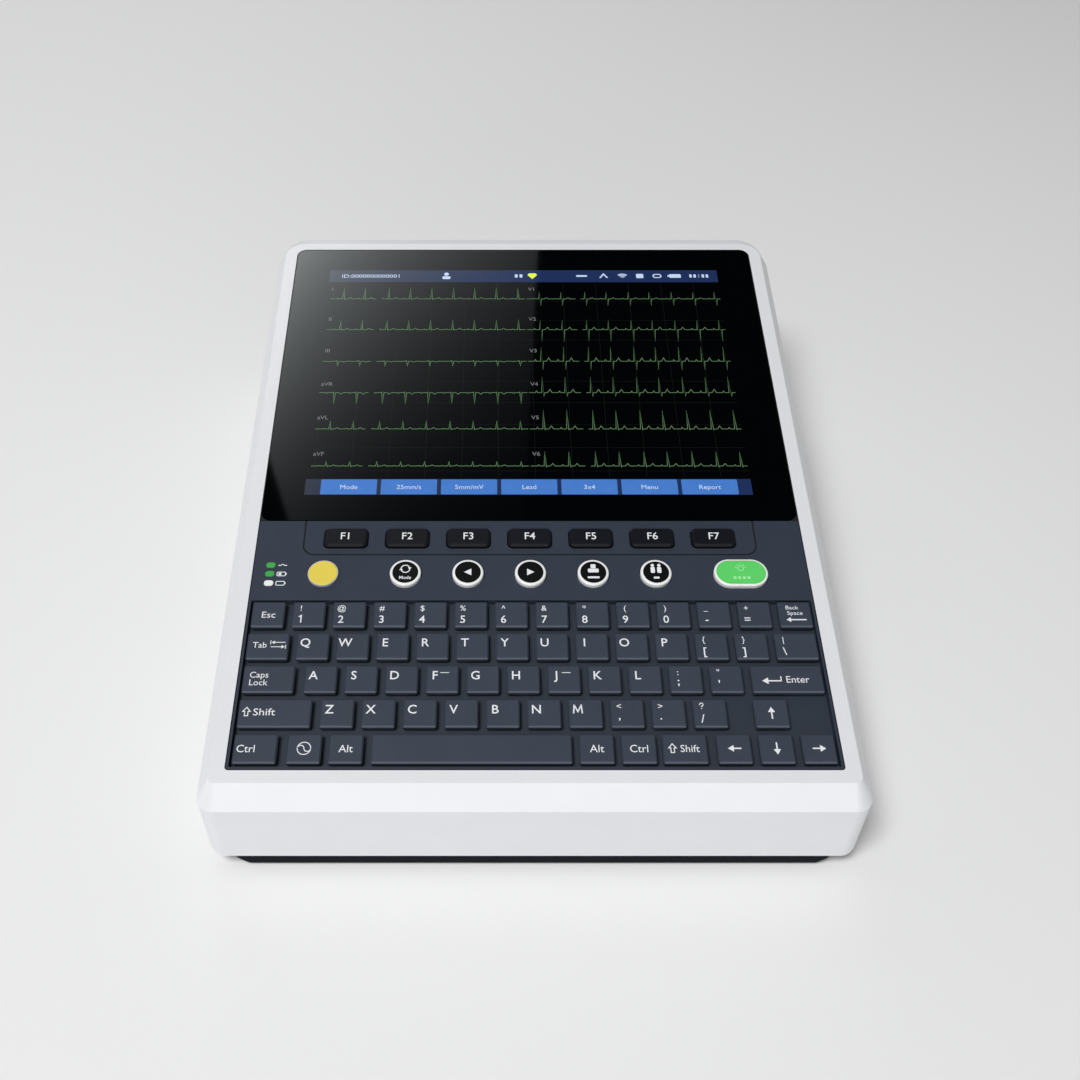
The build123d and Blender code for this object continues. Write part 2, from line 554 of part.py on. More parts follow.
def make_printer_frame():
    """Floor plate, front plate and two cheeks that carry the platen, roll and motor."""
    frame = block(BAY_LEFT, BAY_RIGHT, FRAME_FRONT, FRAME_REAR, FRAME_UNDER, FRAME_FLOOR)
    frame += block(BAY_LEFT, BAY_RIGHT, FRAME_FRONT, FRAME_FRONT + 2, FRAME_FLOOR, 62)
    for x in (BAY_LEFT, BAY_RIGHT - CHEEK):
        frame += block(x, x + CHEEK, FRAME_FRONT, FRAME_REAR, FRAME_FLOOR, CHEEK_TOP)
    frame += block(BAY_LEFT, BAY_RIGHT, 157, 159.6, CHEEK_TOP - 8, CHEEK_TOP)
    for x in (BAY_LEFT + 8, BAY_RIGHT - 16):
        frame += [block(x, x + 8, y, y + 8, FLOOR_TOP, FRAME_UNDER) for y in (132, 172)]
    reach = SPINDLE_RADIUS + SHAFT_GAP
    frame -= rod_x(BAY_LEFT - 5, BAY_RIGHT + 5, PLATEN_Y, PLATEN_Z, SHAFT_RADIUS + SHAFT_GAP)
    frame -= rod_x(BAY_LEFT - 5, BAY_RIGHT + 5, ROLL_Y, ROLL_Z, reach)
    frame -= block(BAY_LEFT - 5, BAY_RIGHT + 5, ROLL_Y, 192, ROLL_Z - reach, ROLL_Z + reach)
    frame -= rod_x(BAY_RIGHT - 5, BAY_RIGHT + 5, MOTOR_Y, MOTOR_Z, 3)
    frame += rod_x(BAY_RIGHT, GEAR_X + GEAR_WIDTH + 1, IDLER_Y, IDLER_Z, IDLER_PIN)
    return frame + block(BAY_RIGHT - CHEEK, BAY_RIGHT, 120, 128, 56, CHEEK_TOP - 1)


def gear(y, z, teeth, phase, bore):
    """Spur gear along X with trapezoid teeth; phase is the angle of one tooth's middle."""
    pitch_radius = GEAR_MODULE * teeth / 2
    tip = pitch_radius + 0.9 * GEAR_MODULE
    root = pitch_radius - 1.15 * GEAR_MODULE
    step = 2 * pi / teeth
    points = []
    for tooth in range(teeth):
        middle = phase + tooth * step
        for share, radius in ((-0.30, root), (-0.12, tip), (0.12, tip), (0.30, root)):
            angle = middle + share * step
            points.append((radius * cos(angle), radius * sin(angle)))
    face = Plane.YZ * make_face(Polyline(*points, close=True))
    wheel = Pos(GEAR_X, y, z) * extrude(face, GEAR_WIDTH)
    return wheel - rod_x(GEAR_X - 1, GEAR_X + GEAR_WIDTH + 1, y, z, bore)


def mesh_phase(phase, teeth, direction, other_teeth):
    """Phase of the gear that lies along direction, so that its gap meets this gear's tooth."""
    place = (direction - phase) / (2 * pi / teeth)
    return direction + pi - (0.5 - place) * (2 * pi / other_teeth)


GEAR_X = BAY_RIGHT + 1.5
reach_platen = GEAR_MODULE * (PLATEN_TEETH + IDLER_TEETH) / 2
reach_motor = GEAR_MODULE * (PINION_TEETH + IDLER_TEETH) / 2
span = hypot(MOTOR_Y - PLATEN_Y, MOTOR_Z - PLATEN_Z)
toward_motor = atan2(MOTOR_Z - PLATEN_Z, MOTOR_Y - PLATEN_Y)
swing = acos((span ** 2 + reach_platen ** 2 - reach_motor ** 2) / (2 * span * reach_platen))
toward_idler = toward_motor + swing
IDLER_Y = PLATEN_Y + reach_platen * cos(toward_idler)
IDLER_Z = PLATEN_Z + reach_platen * sin(toward_idler)
idler_phase = mesh_phase(0, PLATEN_TEETH, toward_idler, IDLER_TEETH)
pinion_phase = mesh_phase(idler_phase, IDLER_TEETH,
                          atan2(MOTOR_Z - IDLER_Z, MOTOR_Y - IDLER_Y), PINION_TEETH)

IDLER_PIN = 2.0
PINION_BORE = 1.55
GEAR_END = GEAR_X + GEAR_WIDTH
MOTOR_FACE = GEAR_END + 3
ROLL_CORE = 12.0                # radius of the card core of the paper


def make_motor():
    """Stepper motor with its shaft, mounting flange and the tab that meets the frame."""
    motor = rod_x(MOTOR_FACE, MOTOR_FACE + 18, MOTOR_Y, MOTOR_Z, MOTOR_RADIUS)
    motor += rod_x(BAY_RIGHT - 2, MOTOR_FACE, MOTOR_Y, MOTOR_Z, 1.5)
    motor += block(MOTOR_FACE, MOTOR_FACE + 1, 121, MOTOR_Y, MOTOR_Z - 17, MOTOR_Z + 17)
    return motor + block(BAY_RIGHT, MOTOR_FACE + 1, 121, 122.5, MOTOR_Z - 17, MOTOR_Z + 17)


def make_platen():
    """Rubber roller that presses the paper on the head and pulls it out."""
    roller = rod_x(BAY_LEFT + CHEEK + 2, BAY_RIGHT - CHEEK - 2, PLATEN_Y, PLATEN_Z, PLATEN_RADIUS)
    return roller - rod_x(BAY_LEFT, BAY_RIGHT, PLATEN_Y, PLATEN_Z, SHAFT_RADIUS)


def make_print_head():
    """Heater bar under a plate with three cooling ribs."""
    x0, x1 = BAY_LEFT + CHEEK + 1, BAY_RIGHT - CHEEK - 1
    head = block(x0, x1, 160, 180, 86.4, 88)
    head += block(x0, x1, 168, 180, 84.5, 86.4)
    return head + [block(x0 + 9, x1 - 9, y, y + 2, 88, 93) for y in (164, 169, 174)]


def make_spindle():
    """Core of the paper roll with the two journals that drop into the cheeks."""
    core = rod_x(-125, 85, ROLL_Y, ROLL_Z, ROLL_CORE)
    return core + rod_x(BAY_LEFT - 1, BAY_RIGHT + 0.8, ROLL_Y, ROLL_Z, SPINDLE_RADIUS)


save("printer_frame", make_printer_frame())
save("platen_gear", gear(PLATEN_Y, PLATEN_Z, PLATEN_TEETH, 0, SHAFT_RADIUS))
save("idler_gear", gear(IDLER_Y, IDLER_Z, IDLER_TEETH, idler_phase, IDLER_PIN + SHAFT_GAP))
save("motor_pinion", gear(MOTOR_Y, MOTOR_Z, PINION_TEETH, pinion_phase, PINION_BORE))
save("stepper_motor", make_motor())
save("platen_roller", make_platen())
save("platen_shaft", rod_x(BAY_LEFT - 1, GEAR_END, PLATEN_Y, PLATEN_Z, SHAFT_RADIUS))
save("print_head", make_print_head())
save("paper_roll", rod_x(-123, 83, ROLL_Y, ROLL_Z, ROLL_RADIUS)
     - rod_x(-124, 84, ROLL_Y, ROLL_Z, ROLL_CORE))
save("paper_spindle", make_spindle())

# ---- Recorder door ----
DOOR_INNER = REAR_Y - DOOR_THICK
RIB_FACE = DOOR_INNER - 6.5
RIB_COUNT = 8
POCKET_LEFT = 69.5              # latch pocket and window in the door
WINDOW_LEFT, WINDOW_RIGHT = 71.4, 86.6


def make_door():
    """Ribbed door with hinge knuckles below and the latch's pocket in its right end."""
    x0, x1 = DOOR_LEFT + 0.4, DOOR_RIGHT - 0.4
    door = block(x0, x1, DOOR_INNER, REAR_Y, HINGE_Z, DOOR_TOP)
    door += rod_x(x0, x1, HINGE_Y, HINGE_Z, KNUCKLE_RADIUS)
    for place in range(RIB_COUNT):
        x = x0 + 2 + (x1 - x0 - 6) * place / (RIB_COUNT - 1)
        door += block(x, x + 2, RIB_FACE, DOOR_INNER, HINGE_Z + 2, 66)
    door += block(x0 + 2, x1 - 2, RIB_FACE, DOOR_INNER, HINGE_Z + 2, HINGE_Z + 4)
    door += block(x0 + 2, x1 - 22, RIB_FACE, DOOR_INNER, 64, 66)
    door -= block(POCKET_LEFT, DOOR_RIGHT, DOOR_INNER - 4, DOOR_INNER, LATCH_Z - 4.6, LATCH_Z + 4.6)
    door -= block(WINDOW_LEFT, WINDOW_RIGHT, DOOR_INNER - 1, REAR_Y + 1, LATCH_Z - 3.6, LATCH_Z + 3.6)
    for x in (x0, x1):
        door -= rod_x(x - 9, x + 9, HINGE_Y, HINGE_Z, HINGE_RADIUS + SHAFT_GAP)
    return door


def hinge_pin(pin_x, tab_x):
    """Pin that starts in the housing beside the door, on a tab of the frame."""
    pin = rod_x(*pin_x, HINGE_Y, HINGE_Z, HINGE_RADIUS)
    return pin + block(*tab_x, HINGE_Y - 5, HINGE_Y + 1, HINGE_Z - 1.5, HINGE_Z + 1.5)


def make_latch():
    """Slide behind the door's window with a finger block that shows in it."""
    latch = block(74, 97, DOOR_INNER - 3.4, DOOR_INNER - 0.4, LATCH_Z - 4, LATCH_Z + 4)
    return latch + block(76.2, 86.2, DOOR_INNER - 0.4, REAR_Y - 0.3, LATCH_Z - 3.2, LATCH_Z + 3.2)


save("printer_door", make_door())
save("door_hinge_pins",
     hinge_pin((DOOR_LEFT - 2.8, DOOR_LEFT + 9), (DOOR_LEFT - 2.8, DOOR_LEFT - 0.4)),
     hinge_pin((DOOR_RIGHT - 9, DOOR_RIGHT + 2.8), (DOOR_RIGHT + 0.4, DOOR_RIGHT + 2.8)))
save("door_latch", make_latch())
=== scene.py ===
"""Looks of a desk-top twelve-channel ECG machine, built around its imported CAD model.

Drawing on the sloping top is in millimetres in the panel's own coordinates: x across,
v up the slope from the front edge of the dark panel, n out of the panel.
"""
import json
import math

import bmesh
import bpy
from mathutils import Matrix, Vector


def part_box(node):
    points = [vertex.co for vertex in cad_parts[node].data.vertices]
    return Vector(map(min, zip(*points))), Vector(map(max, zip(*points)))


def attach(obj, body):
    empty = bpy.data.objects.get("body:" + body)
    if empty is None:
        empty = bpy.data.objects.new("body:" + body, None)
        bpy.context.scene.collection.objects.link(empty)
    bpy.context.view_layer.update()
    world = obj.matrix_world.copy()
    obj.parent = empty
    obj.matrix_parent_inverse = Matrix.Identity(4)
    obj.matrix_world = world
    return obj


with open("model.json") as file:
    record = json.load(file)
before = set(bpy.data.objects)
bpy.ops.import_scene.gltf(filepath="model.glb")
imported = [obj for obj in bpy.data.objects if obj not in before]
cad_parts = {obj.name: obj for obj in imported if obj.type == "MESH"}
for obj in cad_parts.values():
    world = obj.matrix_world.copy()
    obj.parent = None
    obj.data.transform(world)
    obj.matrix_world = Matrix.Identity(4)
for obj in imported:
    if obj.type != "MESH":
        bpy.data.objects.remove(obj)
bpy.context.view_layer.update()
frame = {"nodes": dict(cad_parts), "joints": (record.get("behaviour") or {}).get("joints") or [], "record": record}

MM = 0.001

# ---- The panel's own coordinates, from the frame ----
GLASS_FRONT, GLASS_REAR = 146.8, 366.8      # the glass along the slope
press_axis = next(joint["axis"] for joint in frame["joints"] if joint["name"] == "f1_press")
normal = -Vector(press_axis)
up_slope = Vector((0, normal.z, -normal.y))
glass_low, glass_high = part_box("screen_glass")
panel_origin = Vector((0, glass_low.y - GLASS_FRONT * MM * up_slope.y,
                       glass_high.z - GLASS_REAR * MM * up_slope.z))
panel_axes = Matrix((Vector((1, 0, 0)), up_slope, normal)).transposed().to_4x4()
PANEL = Matrix.Translation(panel_origin) @ panel_axes @ Matrix.Scale(MM, 4)

# ---- Camera ----
CAMERA_X, CAMERA_Y, CAMERA_Z = -20.55, -323.4, 478.3    # from the panel's front edge
CAMERA_DOWN = 45.19                                    # degrees below level
camera_data = bpy.data.cameras.new("camera")
camera_data.lens = 40.3
camera_data.shift_x = 0.0452
camera = bpy.data.objects.new("camera", camera_data)
camera.location = panel_origin + MM * Vector((CAMERA_X, CAMERA_Y, CAMERA_Z))
camera.rotation_euler = (math.radians(90 - CAMERA_DOWN), 0, 0)
bpy.context.scene.collection.objects.link(camera)
bpy.context.scene.camera = camera


# ---- Materials ----
def linear(red, green, blue):
    """Scene colour for a display colour given from 0 to 255."""
    def channel(value):
        value /= 255
        return value / 12.92 if value <= 0.04045 else ((value + 0.055) / 1.055) ** 2.4
    return channel(red), channel(green), channel(blue), 1.0


def finish_of(name, colour, roughness, metallic=0.0, mottle=0.04, mottle_size=0.02, grain=0.15,
              grain_size=0.0005, stretch=(1, 1, 1), coat=0.0, glow=0.0, specular=0.5):
    """Moulded, painted or metal surface: mottled colour, uneven gloss and a fine grain."""
    material = bpy.data.materials.new(name)
    material.use_nodes = True
    tree = material.node_tree
    shader = tree.nodes["Principled BSDF"]
    shader.inputs["Metallic"].default_value = metallic
    shader.inputs["Coat Weight"].default_value = coat
    shader.inputs["Specular IOR Level"].default_value = specular
    place = tree.nodes.new("ShaderNodeTexCoord")
    scale = tree.nodes.new("ShaderNodeMapping")
    scale.inputs["Scale"].default_value = stretch
    tree.links.new(place.outputs["Object"], scale.inputs["Vector"])

    def noise(size, detail):
        node = tree.nodes.new("ShaderNodeTexNoise")
        node.inputs["Scale"].default_value = 1 / size
        node.inputs["Detail"].default_value = detail
        tree.links.new(scale.outputs["Vector"], node.inputs["Vector"])
        return node

    def ranged(source, low, high):
        node = tree.nodes.new("ShaderNodeMapRange")
        node.inputs["From Min"].default_value = 0.3
        node.inputs["From Max"].default_value = 0.7
        node.inputs["To Min"].default_value = low
        node.inputs["To Max"].default_value = high
        tree.links.new(source.outputs["Fac"], node.inputs["Value"])
        return node

    wide = noise(mottle_size, 3)
    fine = noise(grain_size, 2)
    tint = tree.nodes.new("ShaderNodeMix")
    tint.data_type = "RGBA"
    tint.inputs["A"].default_value = [part * (1 - mottle) for part in colour[:3]] + [1]
    tint.inputs["B"].default_value = [min(1, part * (1 + mottle)) for part in colour[:3]] + [1]
    tree.links.new(ranged(wide, 0, 1).outputs["Result"], tint.inputs["Factor"])
    tree.links.new(tint.outputs["Result"], shader.inputs["Base Color"])
    gloss = ranged(fine, roughness * 0.92, roughness * 1.08)
    tree.links.new(gloss.outputs["Result"], shader.inputs["Roughness"])
    if grain:
        bump = tree.nodes.new("ShaderNodeBump")
        bump.inputs["Strength"].default_value = grain
        bump.inputs["Distance"].default_value = 0.00006
        tree.links.new(fine.outputs["Fac"], bump.inputs["Height"])
        tree.links.new(bump.outputs["Normal"], shader.inputs["Normal"])
    if glow:
        shader.inputs["Emission Color"].default_value = colour
        shader.inputs["Emission Strength"].default_value = glow
    return material


FINISHES = {
    "white_shell": dict(colour=linear(232, 233, 237), roughness=0.3, mottle=0.01, grain=0.1, specular=0.8),
    "black_base": dict(colour=linear(20, 24, 30), roughness=0.6, grain=0.4, specular=0.05),
    "deck": dict(colour=linear(48, 56, 70), roughness=0.5, mottle=0.05, grain=0.3, specular=0.3),
    "keycap": dict(colour=linear(56, 63, 76), roughness=0.52, mottle=0.05, grain=0.35, specular=0.3),
    "function_key": dict(colour=linear(10, 14, 22), roughness=0.36, grain=0.15, specular=0.35),
    "white_button": dict(colour=linear(244, 245, 245), roughness=0.3, mottle=0.01, grain=0.08),
    "yellow_button": dict(colour=linear(234, 212, 84), roughness=0.4, mottle=0.03, grain=0.2),
    "black_glass": dict(colour=linear(3, 4, 5), roughness=0.04, mottle=0.02, grain=0.0),
    "foam": dict(colour=linear(14, 15, 17), roughness=0.9, grain=0.8, grain_size=0.0008),
    "display": dict(colour=linear(12, 16, 18), roughness=0.2, grain=0.05),
    "sheet_steel": dict(colour=linear(190, 192, 194), roughness=0.4, metallic=1.0, stretch=(1, 12, 12)),
    "silicone": dict(colour=linear(120, 123, 128), roughness=0.7),
    "circuit_board": dict(colour=linear(24, 92, 52), roughness=0.35, mottle=0.2, mottle_size=0.006),
    "connector": dict(colour=linear(30, 31, 34), roughness=0.5, grain=0.3),
    "battery_wrap": dict(colour=linear(42, 84, 140), roughness=0.35, mottle=0.05),
    "plated_steel": dict(colour=linear(196, 196, 192), roughness=0.28, metallic=1.0, mottle=0.03),
    "brass": dict(colour=linear(206, 170, 96), roughness=0.25, metallic=1.0, stretch=(1, 20, 1)),
    "head_metal": dict(colour=linear(200, 202, 206), roughness=0.35, metallic=1.0, stretch=(1, 16, 1)),
    "rubber": dict(colour=linear(30, 30, 32), roughness=0.8, grain=0.6, grain_size=0.0009),
    "light_pipe": dict(colour=linear(62, 160, 72), roughness=0.3, glow=0.12, grain=0.1),
    "gear_plastic": dict(colour=linear(226, 223, 210), roughness=0.4, mottle=0.02),
    "paper": dict(colour=linear(240, 240, 234), roughness=0.75, mottle=0.02, grain=0.3),
}
finishes = {slot: finish_of(slot, **facts) for slot, facts in FINISHES.items()}


def paint_light_below(material, colour, depth):
    """Painted light: give the parts of the panel that lie deeper than depth, in millimetres, a lighter colour,
    against the shade between the keys.
    """
    tree = material.node_tree
    shader = tree.nodes["Principled BSDF"]
    place = tree.nodes.new("ShaderNodeNewGeometry")
    height = tree.nodes.new("ShaderNodeVectorMath")
    height.operation = "DOT_PRODUCT"
    height.inputs[1].default_value = normal
    tree.links.new(place.outputs["Position"], height.inputs[0])
    deeper = tree.nodes.new("ShaderNodeMath")
    deeper.operation = "LESS_THAN"
    deeper.inputs[1].default_value = panel_origin.dot(normal) - depth * MM
    tree.links.new(height.outputs["Value"], deeper.inputs[0])
    pick = tree.nodes.new("ShaderNodeMix")
    pick.data_type = "RGBA"
    tree.links.new(deeper.outputs["Value"], pick.inputs["Factor"])
    tree.links.new(shader.inputs["Base Color"].links[0].from_socket, pick.inputs["A"])
    pick.inputs["B"].default_value = colour
    tree.links.new(pick.outputs["Result"], shader.inputs["Base Color"])


HIGHLIGHT_FROM, HIGHLIGHT_FULL = 0.90, 0.97           # cosines between which a facet takes the painted highlight colour


def paint_edge_highlight(material, direction, colour):
    """Painted highlight: paint the facets that face along direction, such as a key's front chamfer, in colour."""
    tree = material.node_tree
    shader = tree.nodes["Principled BSDF"]
    facet = tree.nodes.new("ShaderNodeNewGeometry")
    facing = tree.nodes.new("ShaderNodeVectorMath")
    facing.operation = "DOT_PRODUCT"
    facing.inputs[1].default_value = direction
    tree.links.new(facet.outputs["True Normal"], facing.inputs[0])
    share = tree.nodes.new("ShaderNodeMapRange")
    share.inputs["From Min"].default_value = HIGHLIGHT_FROM
    share.inputs["From Max"].default_value = HIGHLIGHT_FULL
    tree.links.new(facing.outputs["Value"], share.inputs["Value"])
    pick = tree.nodes.new("ShaderNodeMix")
    pick.data_type = "RGBA"
    tree.links.new(share.outputs["Result"], pick.inputs["Factor"])
    tree.links.new(shader.inputs["Base Color"].links[0].from_socket, pick.inputs["A"])
    pick.inputs["B"].default_value = colour
    tree.links.new(pick.outputs["Result"], shader.inputs["Base Color"])


# Painted highlight: a light line on the front chamfer of every key.
paint_edge_highlight(finishes["keycap"], (normal - up_slope).normalized(), linear(84, 91, 103))
# Painted light on the recess floor, against the shade between the keys.
paint_light_below(finishes["deck"], linear(47, 54, 65), 3.0)
for part in frame["record"]["subparts"]:
    node = frame["nodes"][part["node"]]
    node.material_slots[0].material = finishes[part["material_slot"]]

print_white = finish_of("print_white", linear(236, 238, 242), 0.55, mottle=0.02)
# The white signs glow a little: painted light that keeps them bright.
sign_white_painted_glow = finish_of("sign_white_painted_glow", linear(232, 235, 238), 0.5, mottle=0.02, glow=0.05)
ink_black = finish_of("ink_black", linear(8, 10, 11), 0.22, grain=0.05)
# The start button's green inlay and its pale sign glow a little: painted light.
inlay_green_painted_glow = finish_of("inlay_green_painted_glow", linear(96, 214, 106), 0.35, grain=0.12, glow=0.02)
print_pale_painted_glow = finish_of("print_pale_painted_glow", linear(160, 236, 166), 0.4, grain=0.1, glow=0.05)
light_white = finish_of("light_white", linear(232, 234, 234), 0.3, glow=0.08, grain=0.05)
collar_silver = finish_of("collar_silver", linear(200, 202, 206), 0.4, metallic=0.2, grain=0.03)


def screen_light(name, colour, glow):
    """Lit part of the display, seen through the same polished glass."""
    return finish_of(name, colour, 0.05, mottle=0.06, mottle_size=0.004, grain=0.0, glow=glow)


bar_blue = screen_light("bar_blue", linear(26, 40, 76), 0.55)
key_blue = screen_light("key_blue", linear(60, 104, 172), 0.55)
text_blue = screen_light("text_blue", linear(168, 184, 206), 0.6)
trace_green = screen_light("trace_green", linear(88, 120, 84), 0.5)
grid_green = screen_light("grid_green", linear(17, 24, 20), 0.4)
label_grey = screen_light("label_grey", linear(104, 108, 112), 0.45)
heart_lime = screen_light("heart_lime", linear(186, 212, 62), 0.75)


def blend_across(material, left_colour, left, right):
    """Fade a lit colour from left_colour, at x = left in millimetres, to its own at x = right."""
    tree = material.node_tree
    shader = tree.nodes["Principled BSDF"]
    place = tree.nodes.new("ShaderNodeNewGeometry")
    parts = tree.nodes.new("ShaderNodeSeparateXYZ")
    share = tree.nodes.new("ShaderNodeMapRange")
    share.inputs["From Min"].default_value = left * MM
    share.inputs["From Max"].default_value = right * MM
    blend = tree.nodes.new("ShaderNodeMix")
    blend.data_type = "RGBA"
    blend.inputs["A"].default_value = left_colour
    blend.inputs["B"].default_value = shader.inputs["Emission Color"].default_value
    tree.links.new(place.outputs["Position"], parts.inputs["Vector"])
    tree.links.new(parts.outputs["X"], share.inputs["Value"])
    tree.links.new(share.outputs["Result"], blend.inputs["Factor"])
    tree.links.new(blend.outputs["Result"], shader.inputs["Emission Color"])
    tree.links.new(blend.outputs["Result"], shader.inputs["Base Color"])


# ---- Drawing on the panel ----
ARC_STEPS = 8


def rounded(x, v, width, height, radius, steps=ARC_STEPS):
    """Outline of a rectangle with round corners, centred on x, v."""
    points = []
    for corner in range(4):
        side_x = 1 if corner in (0, 3) else -1
        side_v = 1 if corner < 2 else -1
        middle_x = x + side_x * (width / 2 - radius)
        middle_v = v + side_v * (height / 2 - radius)
        for step in range(steps + 1):
            angle = math.radians(90 * (corner + step / steps))
            points.append((middle_x + radius * math.cos(angle), middle_v + radius * math.sin(angle)))
    return points


def circle(x, v, radius, steps=40):
    """Outline of a disc."""
    turn = 2 * math.pi / steps
    return [(x + radius * math.cos(turn * i), v + radius * math.sin(turn * i)) for i in range(steps)]


def arc(x, v, radius, start, end, steps=12):
    """Points along an arc, angles in degrees."""
    angles = [math.radians(start + (end - start) * i / steps) for i in range(steps + 1)]
    return [(x + radius * math.cos(angle), v + radius * math.sin(angle)) for angle in angles]


class Drawing:
    """One piece made of flat shapes with a little thickness, on the panel."""

    def __init__(self):
        self.mesh = bmesh.new()

    def plate(self, outline, low, high):
        """Closed plate of an outline, from n = low to n = high."""
        below = [self.mesh.verts.new((x, v, low)) for x, v in outline]
        above = [self.mesh.verts.new((x, v, high)) for x, v in outline]
        self.mesh.faces.new(above)
        self.mesh.faces.new(below[::-1])
        for here in range(len(outline)):
            after = (here + 1) % len(outline)
            self.mesh.faces.new((below[here], below[after], above[after], above[here]))

    def line(self, points, width, low, high, closed=False):
        """Closed strip that follows points, with square ends."""
        count = len(points)
        sides = []
        for here, (x, v) in enumerate(points):
            before = points[here - 1] if here or closed else points[here]
            after = points[(here + 1) % count] if here < count - 1 or closed else points[here]
            into = Vector((x - before[0], v - before[1]))
            out = Vector((after[0] - x, after[1] - v))
            into = (into if into.length else out).normalized()
            out = (out if out.length else into).normalized()
            along = into + out
            along = along.normalized() if along.length > 0.01 else into
            reach = width / 2 / max(0.4, along.dot(into))
            across = Vector((-along.y, along.x)) * reach
            sides.append(((x + across.x, v + across.y), (x - across.x, v - across.y)))
        rings = [[self.mesh.verts.new((*left, low)), self.mesh.verts.new((*right, low)),
                  self.mesh.verts.new((*right, high)), self.mesh.verts.new((*left, high))]
                 for left, right in sides]
        for here in range(count if closed else count - 1):
            first, second = rings[here], rings[(here + 1) % count]
            for edge in range(4):
                following = (edge + 1) % 4
                self.mesh.faces.new((first[edge], first[following], second[following], second[edge]))
        if not closed:
            self.mesh.faces.new(rings[0][::-1])
            self.mesh.faces.new(rings[-1])

    def text(self, words, x, v, height, low, high, middle=True, weight=0.0, squeeze=1.0):
        """Printed characters: their capitals are height tall, and v is the middle of them."""
        curve = bpy.data.curves.new("words", "FONT")
        curve.body = words
        curve.size = height / CAPITAL
        curve.align_x = "CENTER" if middle else "LEFT"
        curve.extrude = (high - low) / 2
        curve.offset = weight * curve.size
        curve.resolution_u = 3
        holder = bpy.data.objects.new("words", curve)
        letters = bpy.data.meshes.new_from_object(holder)
        shift = Matrix.Translation((x, v - height / 2, (low + high) / 2))
        letters.transform(shift @ Matrix.Diagonal((squeeze, 1, 1, 1)))
        self.mesh.from_mesh(letters)
        bpy.data.objects.remove(holder)
        bpy.data.curves.remove(curve)
        bpy.data.meshes.remove(letters)

    def place(self):
        """Where the drawing's millimetres lie in the machine."""
        return PANEL

    def done(self, name, body, slot, material):
        """Make the drawing a piece that rides on a body."""
        bmesh.ops.remove_doubles(self.mesh, verts=self.mesh.verts, dist=0.0005)
        bmesh.ops.recalc_face_normals(self.mesh, faces=self.mesh.faces)
        self.mesh.transform(self.place())
        data = bpy.data.meshes.new(name)
        self.mesh.to_mesh(data)
        self.mesh.free()
        piece = bpy.data.objects.new(name, data)
        bpy.context.scene.collection.objects.link(piece)
        data.materials.append(material)
        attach(piece, body)


CAPITAL = 0.72                  # capital height of the built-in font, as a share of its size

# ---- Keyboard legends ----
KEY_FACE = 0.6                  # key tops above the deck
PRINT = 0.05                    # thickness of a printed legend above its surface
SINK = 0.05                     # and below it
ROW_PITCH = 18.9
FIRST_ROW_V = 3.0
KEY_HEIGHT = 15.2
INK = (KEY_FACE - SINK, KEY_FACE + PRINT)


def top_of(row):
    """Rear edge of a key row, up the slope."""
    return FIRST_ROW_V + ROW_PITCH * row + KEY_HEIGHT


def letter_key(drawing, left, row, letter):
    """Key with one capital letter in its rear left corner; M is drawn with strokes."""
    x, v = left + 4.4, top_of(row) - 5.5
    if letter == "M":
        drawing.line([(x - 2.1, v - 2.4), (x - 1.7, v + 2.4)], 0.65, *INK)
        drawing.line([(x - 1.7, v + 2.2), (x, v - 1.5), (x + 1.7, v + 2.2)], 0.6, *INK)
        drawing.line([(x + 1.7, v + 2.4), (x + 2.1, v - 2.4)], 0.65, *INK)
    else:
        drawing.text(letter, x, v, 4.8, *INK, weight=0.007)


def question_mark(drawing, x, v):
    """Drawn with strokes, 3.3 mm tall."""
    drawing.line(arc(x, v + 0.75, 0.85, 190, -60, 10) + [(x, v - 0.1), (x, v - 0.6)], 0.42, *INK)
    drawing.plate(circle(x, v - 1.4, 0.28, 10), *INK)


def figure_one(drawing, x, v):
    """Drawn with strokes, 4.5 mm tall, with its flag."""
    drawing.line([(x - 0.8, v + 1.3), (x + 0.4, v + 2.1), (x + 0.4, v - 2.2)], 0.62, *INK)


def pair_key(drawing, left, row, upper, lower):
    """Key with a sign above its figure or second sign."""
    x = left + 4.3
    if upper == "?":
        question_mark(drawing, x, top_of(row) - 3.9)
    else:
        drawing.text(upper, x, top_of(row) - 3.9, 3.3, *INK, weight=0.002)
    low = 8.9 if lower in ",.;" else 10.6
    if lower == "1":
        figure_one(drawing, x, top_of(row) - low)
    else:
        drawing.text(lower, x, top_of(row) - low, 4.5, *INK, weight=0.006)


def arrow(drawing, x, v, dx, dv, length, head=2.3, width=0.7, ink=INK):
    """Straight arrow that points along dx, dv, centred on x, v."""
    tip = (x + dx * length / 2, v + dv * length / 2)
    neck = (tip[0] - dx * head, tip[1] - dv * head)
    tail = (x - dx * length / 2, v - dv * length / 2)
    drawing.line([tail, neck], width, *ink)
    half = head * 0.62
    drawing.plate([tip, (neck[0] - dv * half, neck[1] + dx * half),
                   (neck[0] + dv * half, neck[1] - dx * half)], *ink)


def shift_sign(drawing, x, v):
    """Hollow upward arrow."""
    outline = [(x, v + 2.4), (x + 1.8, v + 0.2), (x + 0.8, v + 0.2), (x + 0.8, v - 2.2),
               (x - 0.8, v - 2.2), (x - 0.8, v + 0.2), (x - 1.8, v + 0.2)]
    drawing.line(outline, 0.45, *INK, closed=True)


DIGIT_LEFT, DIGIT_PITCH = -142.9, 20.72     # left edge of a row's first equal key, and the pitch
Q_LEFT, Q_PITCH = -118.3, 20.03
A_LEFT, A_PITCH = -112.7, 20.0
Z_LEFT, Z_PITCH = -103.3, 20.05

